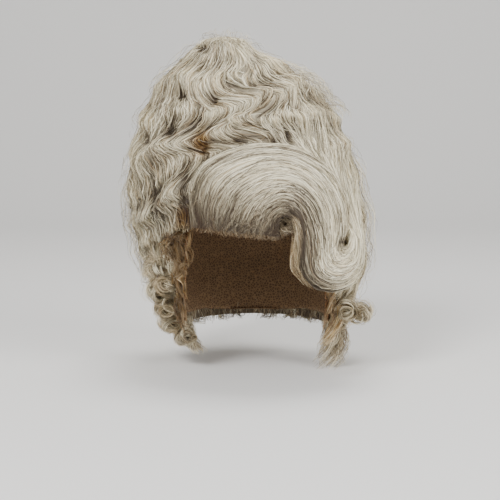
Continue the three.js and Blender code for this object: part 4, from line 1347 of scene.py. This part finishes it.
# Short hairs that soften the fringe's lower edge, browner towards the temple
def buildHairlineTips():
    own = hairlineTips
    count = own["count"]
    station = rng.uniform(*own["station"], (count, 1))
    turn = np.arccos(rng.uniform(-1, 1, (count, 1)))
    roots = sweepPoint(station, turn, 0.0004)
    along = np.linspace(-0.4, 1, own["points"])
    length = rng.uniform(*own["length"], (count, 1))
    lean = rng.normal(0.1, 0.35, (count, 1))
    offset = np.stack([lean * along * np.abs(along), 0.3 * along ** 2 + 0 * lean, -along + 0 * lean], -1)
    paths = roots + length[..., None] * offset
    warm = np.interp(roots[:, 0, 0], [-0.06, -0.03, 0.02], [1.0, 0.8, 0.6]) * rng.uniform(0.5, 1.0, count)
    hairPiece("hairlineTips", paths, frontward(paths), rng.uniform(*own["width"], count),
              own["tone"] * toneOf(count, own), warm)


buildHairlineTips()


# The cap and the lace at its front

cap = {
    "nape": 0.160, "laceWidth": 0.013, "wall": 0.0008, "rings": 54, "sides": 128,
    "off": 0.0007,              # how far its middle stands off the seat
    "snap": 0.0021,             # points this near to an edge are moved onto it
    "slack": 0.0003,            # points this near to an edge count as on it
}

# edges in the side view: reach is a share of the seat's front or back, drop of the nape's
capFrontEdge = [
    {"reach": -2, "drop": 0.38},
    {"reach": -0.71, "drop": 0.38},
    {"reach": -0.63, "drop": 0.42},
    {"reach": -0.56, "drop": 0.72},
    {"reach": -0.43, "drop": 0.95},
]
capLowerEdge = [
    {"reach": -0.25, "drop": 0.98},
    {"reach": 0.6, "drop": 0.98},
    {"reach": 0.75, "drop": 1},
    {"reach": 2, "drop": 1},
]


# The rows of an edge as y and z, moved back and up by inset
def edgeRows(rows, inset=0.0):
    return [
        {"y": row["reach"] * seat["front" if row["reach"] < 0 else "back"] + inset,
         "z": -row["drop"] * cap["nape"] + inset}
        for row in rows
    ]


frontEdge = edgeRows(capFrontEdge)


# How far points are above and behind an edge, and the way to it, all in the side view
def pastEdge(y, z, rows):
    best = np.full(y.shape, 9.0)
    away = np.zeros(y.shape + (2,))
    for a, b in zip(rows[:-1], rows[1:]):
        dy, dz = b["y"] - a["y"], b["z"] - a["z"]
        share = np.clip(((y - a["y"]) * dy + (z - a["z"]) * dz) / (dy * dy + dz * dz), 0, 1)
        gap = np.stack([a["y"] + share * dy - y, a["z"] + share * dz - z], -1)
        far = np.linalg.norm(gap, axis=-1)
        nearer = far < best
        best = np.where(nearer, far, best)
        away = np.where(nearer[..., None], gap, away)
    above = z > np.interp(y, column(rows, "y"), column(rows, "z"))
    return np.where(above, best, -best), away


# Threads crossing a darker ground, see-through between them by amount
def netMaterial(name, colour, threadColour, scale, amount):
    material = bpy.data.materials.new(name)
    material.use_nodes = True
    tree = material.node_tree
    link = tree.links.new
    surface = tree.nodes["Principled BSDF"]
    surface.inputs["Roughness"].default_value = 0.85
    where = tree.nodes.new("ShaderNodeTexCoord")
    cells = tree.nodes.new("ShaderNodeTexVoronoi")
    cells.feature = "DISTANCE_TO_EDGE"
    cells.inputs["Scale"].default_value = scale
    link(where.outputs["Object"], cells.inputs["Vector"])
    edge = rampOf(tree, [(0.0, threadColour), (0.16, colour), (1.0, colour)])
    link(cells.outputs["Distance"], edge.inputs["Fac"])
    link(edge.outputs["Color"], surface.inputs["Base Color"])
    holes = rampOf(tree, [(0.0, (1, 1, 1)), (0.12, (1, 1, 1)), (0.2, (1 - amount,) * 3)])
    link(cells.outputs["Distance"], holes.inputs["Fac"])
    link(holes.outputs["Color"], surface.inputs["Alpha"])
    return material


capMaterial = netMaterial("capNet", (0.12, 0.07, 0.035), (0.32, 0.2, 0.1), 420, 0.0)
laceMaterial = netMaterial("frontLace", (0.10, 0.042, 0.014), (0.30, 0.15, 0.06), 560, 0.35)


# The cap and the lace are parts of one shell on the seat, each cut at its edges by moving the points that
# lie nearly on an edge onto it
def buildCap():
    angles = np.linspace(0, 2 * math.pi, cap["sides"], endpoint=False)
    tilts = np.linspace(0.05, math.pi / 2, cap["rings"] // 2)
    dome = seat["dome"] * (1 - np.cos(tilts))
    below = np.linspace(seat["dome"] + 0.002, cap["nape"] + 0.002, cap["rings"] // 2)
    heights = -np.concatenate([dome, below])
    angleGrid, heightGrid = np.meshgrid(angles, heights)
    outline = edgeRows(capFrontEdge) + edgeRows(capLowerEdge)
    strip = edgeRows(capFrontEdge, cap["laceWidth"])
    off, slack = cap["off"], cap["slack"]
    for name, slot, node, material in (("capNet", "cap_net", "wig_cap", capMaterial),
                                       ("frontLace", "lace", "front_lace", laceMaterial)):
        points = seatPoint(angleGrid, heightGrid, off)
        y, z = points[..., 1].copy(), points[..., 2].copy()
        for rows in (outline, strip):
            past, away = pastEdge(y, z, rows)
            near = (np.abs(past) < cap["snap"]) & ((rows is outline) | (y < strip[-1]["y"]))
            y = np.where(near, y + away[..., 0], y)
            z = np.where(near, z + away[..., 1], z)
        side, front, back = seatReach(z)
        depth = np.where(y < 0, front, back) + off
        flank = np.sign(points[..., 0]) * (side + off) * np.sqrt(np.clip(1 - (y / depth) ** 2, 0, 1))
        onFlank = np.abs(y) < 0.8 * depth
        x = np.where(onFlank & (z < -0.03), flank, points[..., 0])
        inCap = pastEdge(y, z, outline)[0] > -slack
        inStrip = (y < strip[-1]["y"] + slack) & (pastEdge(y, z, strip)[0] < slack)
        outStrip = (y > strip[-1]["y"] - slack) | (pastEdge(y, z, strip)[0] > -slack)
        keep = (inCap & (inStrip if name == "frontLace" else outStrip)).ravel()
        faces = gridFaces(len(heights), len(angles))
        faces = faces[keep[faces].all(axis=1)]
        used, faces = compact(points.reshape(-1, 3), faces)
        made = makeMesh(name, np.stack([x, y, z], -1).reshape(-1, 3)[used], faces, material, [node])
        thick = made.modifiers.new("thickness", "SOLIDIFY")
        thick.thickness = cap["wall"]
        thick.offset = 0
        print(f"{name}: {4 * len(faces)} triangles")


buildCap()
buildTempleStrands()
buildNapeEnds()
buildInnerNape()


# Floor, light and camera

floorLook = {"height": -0.203, "halfWidth": 8, "colour": (0.78, 0.77, 0.75, 1), "roughness": 0.8}
lights = [
    {"name": "key", "at": (-0.8, -1.6, 1.2), "size": 0.6, "power": 44},
    {"name": "fill", "at": (1.4, -1.2, 0.5), "size": 1.0, "power": 34},
    {"name": "top", "at": (0.1, 0.3, 1.6), "size": 0.8, "power": 20},
]
studio = {"aim": (0, 0, -0.05), "colour": (0.94, 0.93, 0.92, 1), "strength": 0.36}
view = {"distance": 1.6, "elevation": 7.0, "aim": (-0.0047, 0.0, -0.093), "field": 16.5}    # field in degrees


# A floor that curves up into a backdrop, three lamps and a pale sky
def buildStage():
    bend, start = 0.8, 1.2                          # radius of the curve and where it starts behind the wig
    profile = [(-6.0, 0.0), (start, 0.0)]
    for a in np.linspace(0.1, math.pi / 2, 14):
        profile.append((start + math.sin(a) * bend, bend - math.cos(a) * bend))
    profile.append((start + bend, 6.0))
    half, height = floorLook["halfWidth"], floorLook["height"]
    verts = [(side * half, y, z + height) for y, z in profile for side in (-1, 1)]
    faces = [(2 * i, 2 * i + 1, 2 * i + 3, 2 * i + 2) for i in range(len(profile) - 1)]
    mesh = bpy.data.meshes.new("floor")
    mesh.from_pydata(verts, [], faces)
    mesh.polygons.foreach_set("use_smooth", np.ones(len(faces), dtype=bool))
    floor = bpy.data.objects.new("floor", mesh)
    bpy.context.scene.collection.objects.link(floor)
    pale = bpy.data.materials.new("paleFloor")
    pale.use_nodes = True
    surface = pale.node_tree.nodes["Principled BSDF"]
    surface.inputs["Base Color"].default_value = floorLook["colour"]
    surface.inputs["Roughness"].default_value = floorLook["roughness"]
    mesh.materials.append(pale)
    for light in lights:
        data = bpy.data.lights.new(light["name"], "AREA")
        data.size = light["size"]
        data.energy = light["power"]
        lamp = bpy.data.objects.new(light["name"], data)
        bpy.context.scene.collection.objects.link(lamp)
        lamp.location = light["at"]
        lamp.rotation_mode = "QUATERNION"
        aim = Vector(studio["aim"]) - Vector(light["at"])
        lamp.rotation_quaternion = aim.to_track_quat("-Z", "Y")
    world = bpy.data.worlds.new("studio")
    world.use_nodes = True
    world.node_tree.nodes["Background"].inputs["Color"].default_value = studio["colour"]
    world.node_tree.nodes["Background"].inputs["Strength"].default_value = studio["strength"]
    bpy.context.scene.world = world


def buildCamera():
    # the camera looks slightly down at the wig from the front
    data = bpy.data.cameras.new("camera")
    data.sensor_width = 36
    data.lens = 18 / math.tan(math.radians(view["field"]) / 2)
    camera = bpy.data.objects.new("camera", data)
    bpy.context.scene.collection.objects.link(camera)
    up = math.radians(view["elevation"])
    back = Vector((0, -math.cos(up), math.sin(up)))
    camera.location = Vector(view["aim"]) + back * view["distance"]
    camera.rotation_mode = "QUATERNION"
    camera.rotation_quaternion = (-back).to_track_quat("-Z", "Y")
    bpy.context.scene.camera = camera


buildStage()
buildCamera()
print("stage and camera ready")
